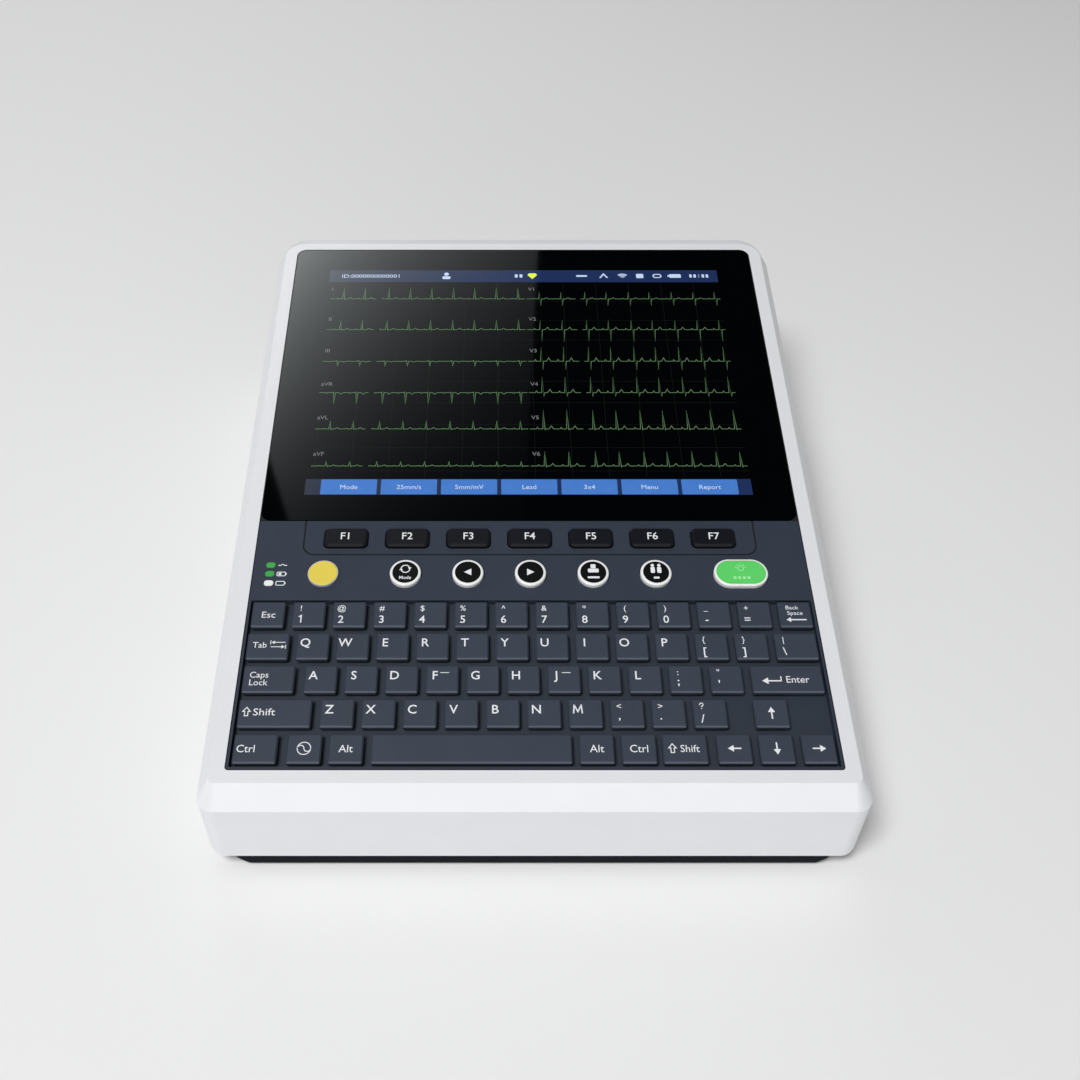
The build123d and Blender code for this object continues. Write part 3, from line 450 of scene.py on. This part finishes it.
digits = Drawing()
for place, (upper, lower) in enumerate(zip("!@#$%^&*()_+", "1234567890-=")):
    pair_key(digits, DIGIT_LEFT + DIGIT_PITCH * (place + 1), 4, upper, lower)
digits.text("Esc", DIGIT_LEFT + 8.6, top_of(4) - 7.9, 3.8, *INK, squeeze=1.08)
digits.text("Back", 133.5, top_of(4) - 3.6, 2.3, *INK, squeeze=1.1)
digits.text("Space", 134.7, top_of(4) - 6.9, 2.3, *INK, squeeze=1.1)
arrow(digits, 135.0, top_of(4) - 11.0, -1, 0, 10.2)
digits.done("digit_row_legends", "digit_row_keys", "keycap", print_white)

q_row = Drawing()
q_row.text("Tab", -136.7, top_of(3) - 7.0, 3.4, *INK)
arrow(q_row, -127.4, top_of(3) - 5.6, -1, 0, 7.0, head=1.6, width=0.4)
q_row.line([(-131.3, top_of(3) - 4.5), (-131.3, top_of(3) - 6.7)], 0.4, *INK)
arrow(q_row, -127.6, top_of(3) - 8.2, 1, 0, 7.0, head=1.6, width=0.4)
q_row.line([(-123.7, top_of(3) - 7.1), (-123.7, top_of(3) - 9.3)], 0.4, *INK)
for place, letter in enumerate("QWERTYUIOP"):
    letter_key(q_row, Q_LEFT + Q_PITCH * place, 3, letter)
pair_key(q_row, Q_LEFT + Q_PITCH * 10, 3, "{", "[")
pair_key(q_row, Q_LEFT + Q_PITCH * 11, 3, "}", "]")
pair_key(q_row, 122.1, 3, "|", "\\")
q_row.done("q_row_legends", "q_row_keys", "keycap", print_white)

a_row = Drawing()
a_row.text("Caps", -139.8, top_of(2) - 5.3, 3.4, *INK, middle=False)
a_row.text("Lock", -139.8, top_of(2) - 9.6, 3.4, *INK, middle=False)
for place, letter in enumerate("ASDFGHJKL"):
    letter_key(a_row, A_LEFT + A_PITCH * place, 2, letter)
for place in (3, 6):
    dash_x = A_LEFT + A_PITCH * place + 9.2
    a_row.plate(rounded(dash_x, top_of(2) - 4.2, 4.4, 0.36, 0.17, 3), KEY_FACE - SINK, KEY_FACE + 0.12)
pair_key(a_row, A_LEFT + A_PITCH * 9, 2, ":", ";")
pair_key(a_row, A_LEFT + A_PITCH * 10, 2, '"', "'")
a_row.done("a_row_legends", "a_row_keys", "keycap", print_white)

z_row = Drawing()
shift_sign(z_row, -138.9, top_of(1) - 7.0)
z_row.text("Shift", -130.4, top_of(1) - 7.0, 3.9, *INK, squeeze=1.14)
for place, letter in enumerate("ZXCVBNM"):
    letter_key(z_row, Z_LEFT + Z_PITCH * place, 1, letter)
for place, (upper, lower) in enumerate((("<", ","), (">", "."), ("?", "/"))):
    pair_key(z_row, Z_LEFT + Z_PITCH * (place + 7), 1, upper, lower)
z_row.done("z_row_legends", "z_row_keys", "keycap", print_white)

bottom_row = Drawing()
low_text_v = top_of(0) - 7.6
bottom_row.text("Ctrl", -136.9, low_text_v, 4.0, *INK)
SWIRL_X, SWIRL_RADIUS = -109.3, 3.2
bottom_row.line(circle(SWIRL_X, low_text_v, SWIRL_RADIUS, 28), 0.45, *INK, closed=True)
for side, start in ((-1, 180), (1, 0)):
    middle_x = SWIRL_X + side * SWIRL_RADIUS / 2
    bottom_row.line(arc(middle_x, low_text_v, SWIRL_RADIUS / 2, start, start - 180), 0.45, *INK)
bottom_row.text("Alt", -89.5, low_text_v, 4.0, *INK)
bottom_row.text("Alt", 29.6, low_text_v, 4.0, *INK)
bottom_row.text("Ctrl", 49.6, low_text_v, 4.0, *INK)
shift_sign(bottom_row, 65.4, low_text_v)
bottom_row.text("Shift", 73.6, low_text_v, 3.8, *INK)
bottom_row.done("bottom_row_legends", "bottom_row_keys", "keycap", print_white)

for node, x, row, dx, dv in (("left_key", 94.85, 0, -1, 0), ("down_key", 115.0, 0, 0, -1),
                             ("right_key", 135.05, 0, 1, 0), ("up_key", 115.0, 1, 0, 1)):
    legend = Drawing()
    arrow(legend, x, top_of(row) - 7.6, dx, dv, 6.4, head=2.8)
    legend.done(node + "_legend", node, "keycap", print_white)

enter = Drawing()
enter_v = top_of(2) - 8.0
arrow(enter, 117.6, enter_v - 0.8, -1, 0, 9.6, head=3.0)
enter.line([(122.2, enter_v - 1.0), (122.2, enter_v + 1.8)], 0.55, *INK)
enter.text("Enter", 130.2, enter_v + 0.1, 3.8, *INK)
enter.done("enter_key_legend", "enter_key", "keycap", print_white)

# ---- Function keys ----
FKEY_FACE = 2.4
FKEY_INK = (FKEY_FACE - SINK, FKEY_FACE + PRINT)
for number in range(1, 8):
    legend = Drawing()
    legend.text(f"F{number}", 32.7 * (number - 4), 134.7, 4.6, *FKEY_INK, weight=0.004)
    legend.done(f"f{number}_key_legend", f"f{number}_key", "function_key", sign_white_painted_glow)

# ---- Round buttons: inlay in the seat, and its sign ----
BUTTON_V = 111.2
SEAT = 1.7                      # bottom of the inlay seat
INLAY_RADIUS = 6.8
INLAY_TOP = 2.3
SIGN = (INLAY_TOP - SINK, INLAY_TOP + PRINT)
BUTTONS = {"mode_button": -65.4, "left_button": -32.7, "right_button": 0.0,
           "print_button": 32.8, "id_button": 65.6}


def inlay(name, body, outline_at, material):
    """Slightly crowned inlay that fills a button's seat."""
    drawing = Drawing()
    drawing.plate(outline_at(0.05), SEAT, INLAY_TOP - 0.25)
    drawing.plate(outline_at(0.35), INLAY_TOP - 0.3, INLAY_TOP)
    drawing.done(name, body, "white_button", material)


def sign_mode(drawing, x, v):
    """Two arrows that chase each other in a ring, over a word."""
    drawing.line(arc(x, v + 2.0, 2.3, 20, 170), 0.55, *SIGN)
    drawing.line(arc(x, v + 2.0, 2.3, 200, 350), 0.55, *SIGN)
    drawing.plate([(x + 3.2, v + 2.9), (x + 1.3, v + 2.9), (x + 2.2, v + 1.4)], *SIGN)
    drawing.plate([(x - 3.2, v + 1.2), (x - 1.3, v + 1.2), (x - 2.2, v + 2.7)], *SIGN)
    drawing.text("Mode", x, v - 3.4, 2.0, *SIGN, weight=0.01)


def sign_left(drawing, x, v):
    """Triangle that points left."""
    drawing.plate([(x - 2.0, v), (x + 1.8, v + 2.1), (x + 1.8, v - 2.1)], *SIGN)


def sign_right(drawing, x, v):
    """Triangle that points right."""
    drawing.plate([(x + 2.0, v), (x - 1.8, v + 2.1), (x - 1.8, v - 2.1)], *SIGN)


def sign_print(drawing, x, v):
    """Sheet of paper coming out of a box, over a short bar."""
    drawing.plate(rounded(x, v + 3.6, 2.6, 2.6, 0.3, 2), *SIGN)
    drawing.plate(rounded(x, v + 0.9, 5.6, 2.4, 0.5, 3), *SIGN)
    drawing.plate(rounded(x, v - 3.4, 6.2, 1.2, 0.3, 3), *SIGN)


def sign_id(drawing, x, v):
    """Two figures, over a short bar."""
    for side in (-1, 1):
        drawing.plate(circle(x + side * 1.7, v + 4.2, 0.9, 14), *SIGN)
        drawing.plate(rounded(x + side * 1.7, v + 1.3, 2.2, 3.8, 0.6, 3), *SIGN)
    drawing.plate(rounded(x, v - 3.6, 3.0, 1.2, 0.3, 3), *SIGN)


SIGNS = {"mode_button": sign_mode, "left_button": sign_left, "right_button": sign_right,
         "print_button": sign_print, "id_button": sign_id}
for body, x in BUTTONS.items():
    inlay(body + "_inlay", body, lambda edge, x=x: circle(x, BUTTON_V, INLAY_RADIUS - edge, 48), ink_black)
    sign = Drawing()
    SIGNS[body](sign, x, BUTTON_V)
    sign.done(body + "_sign", body, "white_button", sign_white_painted_glow)

START_X = 110.0
START_LENGTH, START_HEIGHT = 25.9, 14.8
inlay("start_button_inlay", "start_button",
      lambda edge: rounded(START_X, BUTTON_V, START_LENGTH - 2 * edge, START_HEIGHT - 2 * edge,
                           START_HEIGHT / 2 - edge, 14), inlay_green_painted_glow)
start_sign = Drawing()
LAMP_V = BUTTON_V + 2.2
start_sign.line(circle(START_X, LAMP_V, 1.5, 20), 0.4, *SIGN, closed=True)
for ray in range(5):
    turn = math.radians(18 + 36 * ray)
    points = [(START_X + reach * math.cos(turn), LAMP_V + reach * math.sin(turn))
              for reach in (2.1, 3.2)]
    start_sign.line(points, 0.4, *SIGN)
for bar in range(4):
    start_sign.plate(rounded(START_X - 3.6 + 2.4 * bar, BUTTON_V - 3.6, 1.6, 1.7, 0.4, 3), *SIGN)
start_sign.done("start_button_sign", "start_button", "white_button", print_pale_painted_glow)

# ---- Power ring and status lights ----
POWER_X, COLLAR_RADIUS = -108.5, 7.78
collar = Drawing()
collar.line(circle(POWER_X, BUTTON_V, COLLAR_RADIUS, 64), 0.38, -1.2, 1.32, closed=True)
collar.done("power_collar", "power_button", "yellow_button", collar_silver)

# ---- Dark seal round the panel, painted shade in the deck groove, and the corners under the glass ----
SEAL_HALF, SEAL_FRONT, SEAL_REAR, SEAL_WIDTH = 145.61, -0.11, 367.11, 0.56
seal_path = []
for corner_x, corner_v, radius, start in ((1, SEAL_REAR, 5.9, 0), (-1, SEAL_REAR, 5.9, 90),
                                          (-1, SEAL_FRONT, 1.4, 180), (1, SEAL_FRONT, 1.4, 270)):
    inward = -1 if corner_v == SEAL_REAR else 1
    seal_path += arc(corner_x * (SEAL_HALF - radius), corner_v + inward * radius, radius,
                     start, start + 90, 8)
seal = Drawing()
seal.line(seal_path, SEAL_WIDTH, -1.9, 0.03, closed=True)
seal.done("panel_seal", "housing", "foam", finishes["foam"])
# Painted shade: a black strip in the groove round the function keys, to darken it.
groove_shade = Drawing()
GROOVE_HALF, GROOVE_FRONT, GROOVE_END, GROOVE_ROUND = 120.5, 123.95, 146.2, 6.0
groove_path = [(-GROOVE_HALF, GROOVE_END)]
groove_path += arc(GROOVE_ROUND - GROOVE_HALF, GROOVE_FRONT + GROOVE_ROUND, GROOVE_ROUND, 180, 270, 8)
groove_path += arc(GROOVE_HALF - GROOVE_ROUND, GROOVE_FRONT + GROOVE_ROUND, GROOVE_ROUND, 270, 360, 8)
groove_path += [(GROOVE_HALF, GROOVE_END)]
groove_shade.line(groove_path, 0.8, -0.79, -0.2)
groove_shade.done("deck_groove_shade", "housing", "foam", finishes["foam"])
corners = Drawing()
for side in (-1, 1):
    bend = arc(side * 139.8, 152.3, 5.56, 270, 270 + side * 90, 8)
    corners.plate([(side * 145.5, 146.35)] + bend[::-1], -1.9, -0.35)
corners.done("glass_corners", "housing", "foam", finishes["foam"])

LIGHTS_X = -136.5
LIGHT_LOW, LIGHT_MIDDLE, LIGHT_TOP = 105.6, 111.5, 117.0
low_light = Drawing()
low_light.plate(rounded(LIGHTS_X, LIGHT_LOW, 4.8, 3.4, 1.5), 0.0, 0.3)
low_light.done("battery_light", "housing", "light_pipe", light_white)
upper_lights = Drawing()
for v in (LIGHT_MIDDLE, LIGHT_TOP):
    upper_lights.plate(rounded(LIGHTS_X, v, 4.8, 3.4, 1.5), 0.0, 0.3)
upper_lights.done("power_lights", "housing", "light_pipe", finishes["light_pipe"])

DECK_INK = (-SINK, PRINT)
status = Drawing()
status.line([(-132.6, LIGHT_TOP), (-131.0, LIGHT_TOP)], 0.5, *DECK_INK)
status.line([(-129.6, LIGHT_TOP), (-128.0, LIGHT_TOP)], 0.5, *DECK_INK)
status.line(arc(-130.3, LIGHT_TOP, 0.7, 0, 180, 6), 0.4, *DECK_INK)
for v in (LIGHT_MIDDLE, LIGHT_LOW):
    status.line(rounded(-130.5, v, 4.4, 2.4, 0.5, 3), 0.45, *DECK_INK, closed=True)
    status.plate(rounded(-127.9, v, 0.5, 1.1, 0.2, 2), *DECK_INK)
status.plate(rounded(-131.2, LIGHT_MIDDLE, 1.6, 1.3, 0.2, 2), *DECK_INK)
status.done("status_signs", "housing", "deck", sign_white_painted_glow)

# ---- Small parts in the sockets ----


class Blocks(Drawing):
    """One piece made of boxes and pins in the machine's own millimetres."""

    def box(self, x0, x1, y0, y1, z0, z1):
        """Closed box from x0, y0, z0 to x1, y1, z1."""
        corners = [self.mesh.verts.new((x, y, z)) for z in (z0, z1) for x, y in
                   ((x0, y0), (x1, y0), (x1, y1), (x0, y1))]
        for face in ((3, 2, 1, 0), (4, 5, 6, 7), (0, 1, 5, 4), (1, 2, 6, 5), (2, 3, 7, 6), (3, 0, 4, 7)):
            self.mesh.faces.new([corners[corner] for corner in face])

    def pin(self, x0, x1, y, z, radius, sides=12):
        """Round pin along X with a tapered tip at x1."""
        tip = x1 - (radius if x1 > x0 else -radius)
        rings = [[self.mesh.verts.new((x, *spot)) for spot in circle(y, z, size, sides)]
                 for x, size in ((x0, radius), (tip, radius), (x1, radius * 0.45))]
        for first, second in zip(rings, rings[1:]):
            for side in range(sides):
                after = (side + 1) % sides
                self.mesh.faces.new((first[side], first[after], second[after], second[side]))
        self.mesh.faces.new(rings[0])
        self.mesh.faces.new(rings[-1])

    def place(self):
        """Millimetres to metres, with nothing turned."""
        return Matrix.Scale(MM, 4)


pin_metal = finish_of("pin_metal", linear(214, 196, 140), 0.25, metallic=1.0, grain=0.03)
socket_low, socket_high = (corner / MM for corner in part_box("ecg_connector"))
ECG_Y = (socket_low.y + socket_high.y) / 2
ECG_Z = 45.0
PIN_PITCH = 2.77
pins = Blocks()
for row_z, count in ((1.42, 8), (-1.42, 7)):
    for place in range(count):
        pins.pin(socket_high.x - 8.8, socket_high.x - 2.6, ECG_Y + PIN_PITCH * (place - (count - 1) / 2),
                 ECG_Z + row_z, 0.5)
pins.done("patient_socket_pins", "housing", "plated_steel", pin_metal)

ports_low, ports_high = (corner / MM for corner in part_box("io_ports"))
USB_PLACES, NETWORK_Y = (66.0, 86.0), 107.0
tongues = Blocks()
contacts = Blocks()
for y in USB_PLACES:
    tongues.box(ports_low.x + 1.2, ports_low.x + 11.2, y - 5.2, y + 5.2,
                ports_low.z + 3.6, ports_low.z + 5.2)
    for lane in range(4):
        lane_y = y - 3.6 + 2.4 * lane
        contacts.box(ports_low.x + 2.0, ports_low.x + 10.5, lane_y - 0.5, lane_y + 0.5,
                     ports_low.z + 3.4, ports_low.z + 3.62)
for lane in range(8):
    lane_y = NETWORK_Y - 4.2 + 1.2 * lane
    contacts.box(ports_low.x + 2.5, ports_low.x + 10.9, lane_y - 0.25, lane_y + 0.25,
                 ports_high.z - 2.4, ports_high.z - 1.9)
tongues.done("usb_tongues", "housing", "connector", finishes["connector"])
contacts.done("port_contacts", "housing", "plated_steel", pin_metal)

inlet_low, inlet_high = (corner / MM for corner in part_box("ac_inlet"))
MAINS_X, MAINS_Z = (inlet_low.x + inlet_high.x) / 2, (inlet_low.z + inlet_high.z) / 2
blades = Blocks()
for x, z in ((-2.0, -12.5), (2.0, -5.5), (-2.0, 1.5)):
    blades.box(MAINS_X + x - 2.0, MAINS_X + x + 2.0, inlet_high.y - 17.0, inlet_high.y - 3.0,
               MAINS_Z + z - 1.0, MAINS_Z + z + 1.0)
blades.done("mains_blades", "housing", "plated_steel", finishes["plated_steel"])
drawer = Blocks()
for half, back, front, z0, z1 in ((8.8, 5.0, 2.4, 10.7, 20.8), (7.6, 2.5, 1.4, 11.6, 15.2),
                                  (7.6, 2.5, 0.6, 16.2, 19.9)):
    drawer.box(MAINS_X - half, MAINS_X + half, inlet_high.y - back, inlet_high.y - front,
               MAINS_Z + z0, MAINS_Z + z1)
drawer.done("fuse_drawer", "housing", "connector", finishes["connector"])

latch_low, latch_high = (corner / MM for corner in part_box("door_latch"))
ridges = Blocks()
for ridge in range(4):
    x = latch_low.x + 3.6 + 2.3 * ridge
    ridges.box(x, x + 1.1, latch_high.y - 0.1, latch_high.y + 0.25, latch_low.z + 1.6, latch_high.z - 1.6)
ridges.done("latch_ridges", "latch", "white_shell", finishes["white_shell"])

# ---- Display ----
SCREEN_HALF = 123.4
SCREEN_LOW, SCREEN_HIGH = 164.4, 347.6
LIT = (-0.1, 0.02)
LIT_OVER = (-0.1, 0.04)
TRACE_BASELINES = (321.0, 293.6, 266.6, 241.0, 212.6, 185.0)
GRID_PITCH_X, GRID_PITCH_V = 20.6, 17.2


def beat(x, base, rise, fall, wave):
    """One heartbeat: small P wave, sharp main wave, T wave."""
    bump = 1.3 * wave
    return [(x - 4.6, base), (x - 4.0, base + 0.5 * bump), (x - 3.3, base), (x - 0.9, base),
            (x - 0.35, base + rise), (x + 0.35, base - fall), (x + 0.9, base),
            (x + 2.6, base), (x + 4.0, base + bump), (x + 5.2, base)]


LEFT_BEATS = (-112.8, -99.6, -84.4, -71.0, -57.6, -43.9, -30.6, -17.0, -3.4)
RIGHT_BEATS = (10.0, 23.6, 38.6, 52.0, 66.0, 79.0, 93.0, 106.6, 120.0)
LEFT_WAVES = ((10.5, 0.4, 1.0), (8.5, 0.4, 1.0), (0.6, 4.0, -0.5), (0.4, 9.0, -1.0), (6.0, 0.4, 0.8),
              (3.2, 0.4, 0.6))
RIGHT_WAVES = ((6.0, 6.0, 0.8), (8.0, 10.0, 1.6), (12.0, 7.0, 2.2), (12.5, 3.0, 2.0), (14.5, 0.6, 1.8),
               (10.5, 0.6, 1.4))
GAPS = (-91.0, 33.8)


def trace(drawing, start, end, gap, beats, base, wave):
    """One lead's trace, broken where the sweep has passed."""
    for low, high in ((start, gap - 1.6), (gap + 1.6, end)):
        points = [(low, base)]
        for x in beats:
            if low + 1.2 < x < high - 1.0:
                points += [point for point in beat(x, base, *wave) if low < point[0] < high]
        points.append((high, base))
        drawing.line(points, 0.34, *LIT)


grid = Drawing()
columns = int(2 * SCREEN_HALF // GRID_PITCH_X) + 1
for column in range(columns):
    x = -SCREEN_HALF + 4 + GRID_PITCH_X * column
    grid.line([(x, SCREEN_LOW + 12.5), (x, SCREEN_HIGH - 12.5)], 0.25, -0.1, 0.012)
for row in range(9):
    v = SCREEN_LOW + 17 + GRID_PITCH_V * row
    grid.line([(-SCREEN_HALF, v), (SCREEN_HALF, v)], 0.25, -0.1, 0.012)
grid.done("display_grid", "housing", "display", grid_green)

traces = Drawing()
for row, base in enumerate(TRACE_BASELINES):
    trace(traces, -SCREEN_HALF + 2, 0.6, GAPS[0], LEFT_BEATS, base, LEFT_WAVES[row])
    trace(traces, 1.6, SCREEN_HALF - 0.5, GAPS[1], RIGHT_BEATS, base, RIGHT_WAVES[row])
traces.done("display_traces", "housing", "display", trace_green)

labels = Drawing()
LABEL_ROWS = (330.0, 303.0, 275.6, 248.0, 221.5, 194.0)
for v, left, right in zip(LABEL_ROWS, ("I", "II", "III", "aVR", "aVL", "aVF"),
                          ("V1", "V2", "V3", "V4", "V5", "V6")):
    labels.text(left, -121.0, v, 3.0, *LIT_OVER, middle=False)
    labels.text(right, 2.6, v, 3.0, *LIT_OVER, middle=False)
labels.done("display_labels", "housing", "display", label_grey)

BAR_HEIGHT = 11.2
SOFTKEY_V = SCREEN_LOW + BAR_HEIGHT / 2
bars = Drawing()
for v in (SOFTKEY_V, SCREEN_HIGH - BAR_HEIGHT / 2):
    bars.plate(rounded(0, v, 2 * SCREEN_HALF, BAR_HEIGHT, 0.3, 2), *LIT)
bars.done("display_bars", "housing", "display", bar_blue)
blend_across(bar_blue, linear(38, 44, 58), -SCREEN_HALF, 0.0)

softkeys = Drawing()
SOFTKEY_PITCH = 33.25
softkey_places = [SOFTKEY_PITCH * (number - 3) + 0.5 for number in range(7)]
for x in softkey_places:
    softkeys.plate(rounded(x, SOFTKEY_V, 31.0, 10.6, 0.6, 3), *LIT_OVER)
softkeys.done("display_softkeys", "housing", "display", key_blue)

SOFTKEY_INK = (-0.1, 0.06)
softkey_marks = Drawing()
SOFTKEY_WORDS = ("Mode", "25mm/s", "5mm/mV", "Lead", "3x4", "Menu", "Report")
for x, words in zip(softkey_places, SOFTKEY_WORDS):
    softkey_marks.text(words, x, SOFTKEY_V, 3.1, *SOFTKEY_INK)
softkey_marks.done("display_softkey_marks", "housing", "display", text_blue)

TOP_V = SCREEN_HIGH - 5.4
top_marks = Drawing()
top_marks.text("ID:0000000000001", -115.7, TOP_V, 3.2, *LIT_OVER, middle=False, squeeze=1.1)
top_marks.plate(circle(-49.0, TOP_V + 1.7, 1.5, 14), *LIT_OVER)
top_marks.plate(rounded(-49.0, TOP_V - 1.6, 5.2, 2.6, 1.0, 3), *LIT_OVER)
top_marks.plate(rounded(-4.6, TOP_V, 1.8, 3.0, 0.4, 2), *LIT_OVER)
top_marks.plate(rounded(-1.6, TOP_V, 1.8, 3.0, 0.4, 2), *LIT_OVER)
top_marks.plate(rounded(37.0, TOP_V, 7.0, 1.6, 0.5, 2), *LIT_OVER)
top_marks.line([(48.6, TOP_V - 1.8), (51.0, TOP_V + 1.8), (53.4, TOP_V - 1.8)], 1.0, *LIT_OVER)
for reach in (1.4, 2.8, 4.0):
    top_marks.line(arc(63.0, TOP_V - 2.2, reach, 45, 135, 6), 0.8, *LIT_OVER)
top_marks.plate(rounded(74.0, TOP_V, 4.6, 4.0, 0.6, 3), *LIT_OVER)
top_marks.line(rounded(85.0, TOP_V, 5.0, 3.0, 1.4, 3), 0.8, *LIT_OVER, closed=True)
top_marks.plate(rounded(96.5, TOP_V, 7.4, 3.4, 0.6, 3), *LIT_OVER)
top_marks.plate(rounded(92.2, TOP_V, 1.0, 1.6, 0.2, 2), *LIT_OVER)
for mark in (0, 1, 3, 4):
    top_marks.plate(rounded(106.4 + 2.6 * mark, TOP_V, 1.6, 3.0, 0.4, 2), *LIT_OVER)
for side in (-1, 1):
    top_marks.plate(circle(111.6, TOP_V + side * 0.9, 0.4, 8), *LIT_OVER)
top_marks.done("display_top_marks", "housing", "display", text_blue)

heart = Drawing()
heart_outline = arc(4.2, TOP_V + 1.0, 1.5, 200, 20, 8) + arc(7.0, TOP_V + 1.0, 1.5, 160, -20, 8)
heart.plate(heart_outline[::-1] + [(5.6, TOP_V - 2.8)], *LIT_OVER)
heart.done("display_heart", "housing", "display", heart_lime)

# ---- Floor and light ----
floor_data = bpy.data.meshes.new("floor")
FLOOR_HALF = 12.0
floor_data.from_pydata([(-FLOOR_HALF, -FLOOR_HALF, 0), (FLOOR_HALF, -FLOOR_HALF, 0),
                        (FLOOR_HALF, FLOOR_HALF, 0), (-FLOOR_HALF, FLOOR_HALF, 0)], [], [(0, 1, 2, 3)])
floor = bpy.data.objects.new("floor", floor_data)
bpy.context.scene.collection.objects.link(floor)
floor_data.materials.append(finish_of("floor", linear(240, 240, 240), 0.9, mottle=0.0, grain=0.0,
                                      specular=0.1))

world = bpy.data.worlds.new("studio")
bpy.context.scene.world = world
world.use_nodes = True
world.node_tree.nodes["Background"].inputs["Color"].default_value = (1, 1, 1, 1)
world.node_tree.nodes["Background"].inputs["Strength"].default_value = 0.17


def soft_light(name, place, target, size, power):
    """Square studio light that faces target."""
    data = bpy.data.lights.new(name, "AREA")
    data.shape = "SQUARE"
    data.size = size
    data.energy = power
    lamp = bpy.data.objects.new(name, data)
    lamp.location = place
    lamp.rotation_euler = (Vector(target) - Vector(place)).to_track_quat("-Z", "Y").to_euler()
    bpy.context.scene.collection.objects.link(lamp)


def card(name, left, right, bottom, top, y, material):
    """Upright card across the room, hidden from the camera, for the machine to mirror."""
    data = bpy.data.meshes.new(name)
    data.from_pydata([(left, y, bottom), (right, y, bottom), (right, y, top), (left, y, top)],
                     [], [(0, 1, 2, 3)])
    data.materials.append(material)
    piece = bpy.data.objects.new(name, data)
    piece.visible_camera = False
    bpy.context.scene.collection.objects.link(piece)


def plain_glow(name, strength):
    """Evenly lit card."""
    material = bpy.data.materials.new(name)
    material.use_nodes = True
    shader = material.node_tree.nodes["Principled BSDF"]
    shader.inputs["Base Color"].default_value = (0, 0, 0, 1)
    shader.inputs["Specular IOR Level"].default_value = 0
    shader.inputs["Emission Color"].default_value = (1, 1, 1, 1)
    shader.inputs["Emission Strength"].default_value = strength
    return material


def glowing_card():
    """Light that fades to the right and upwards, as a soft box seen aslant does."""
    material = bpy.data.materials.new("card_glow")
    material.use_nodes = True
    tree = material.node_tree
    shader = tree.nodes["Principled BSDF"]
    shader.inputs["Base Color"].default_value = (0, 0, 0, 1)
    shader.inputs["Roughness"].default_value = 1
    shader.inputs["Specular IOR Level"].default_value = 0
    shader.inputs["Emission Color"].default_value = linear(246, 253, 255)
    place = tree.nodes.new("ShaderNodeTexCoord")
    fade = tree.nodes.new("ShaderNodeVectorMath")
    fade.operation = "DOT_PRODUCT"
    fade.inputs[1].default_value = (-CARD_FADE_X, 0, -CARD_FADE_Z)
    shift = tree.nodes.new("ShaderNodeMath")
    shift.inputs[1].default_value = CARD_FADE_X * CARD_LEFT + CARD_FADE_Z * CARD_BOTTOM
    power = tree.nodes.new("ShaderNodeMath")
    power.operation = "EXPONENT"
    gain = tree.nodes.new("ShaderNodeMath")
    gain.operation = "MULTIPLY"
    gain.inputs[1].default_value = CARD_POWER
    tree.links.new(place.outputs["Object"], fade.inputs[0])
    tree.links.new(fade.outputs["Value"], shift.inputs[0])
    tree.links.new(shift.outputs["Value"], power.inputs[0])
    tree.links.new(power.outputs["Value"], gain.inputs[0])
    tree.links.new(gain.outputs["Value"], shader.inputs["Emission Strength"])
    return material


soft_light("key_light", place=(-0.95, -1.34, 3.08), target=(0, 0, 0.05), size=1.2, power=88)
soft_light("rear_light", place=(-0.6, 1.5, 0.9), target=(0, 0.1, 0.05), size=0.8, power=2)
card("front_card", left=-1.5, right=1.5, bottom=0.55, top=1.1, y=-3.0,
     material=plain_glow("front_glow", 3.0))
# The glass mirrors a soft box that fades away, with black behind the rest of it.
CARD_LEFT, CARD_RIGHT, CARD_BOTTOM, CARD_TOP, CARD_Y = -0.70, 0.09, 1.64, 3.15, 1.6
CARD_FADE_X, CARD_FADE_Z, CARD_POWER = 4.0, 2.6, 12.0
card("glow_card", CARD_LEFT, CARD_RIGHT, CARD_BOTTOM, CARD_TOP, CARD_Y, glowing_card())
card("dark_card", left=-1.2, right=1.4, bottom=1.5, top=3.4, y=CARD_Y + 0.02,
     material=finish_of("card_black", linear(2, 2, 2), 1.0, mottle=0.0, grain=0.0, specular=0.0))
bpy.context.scene.view_settings.view_transform = "Standard"
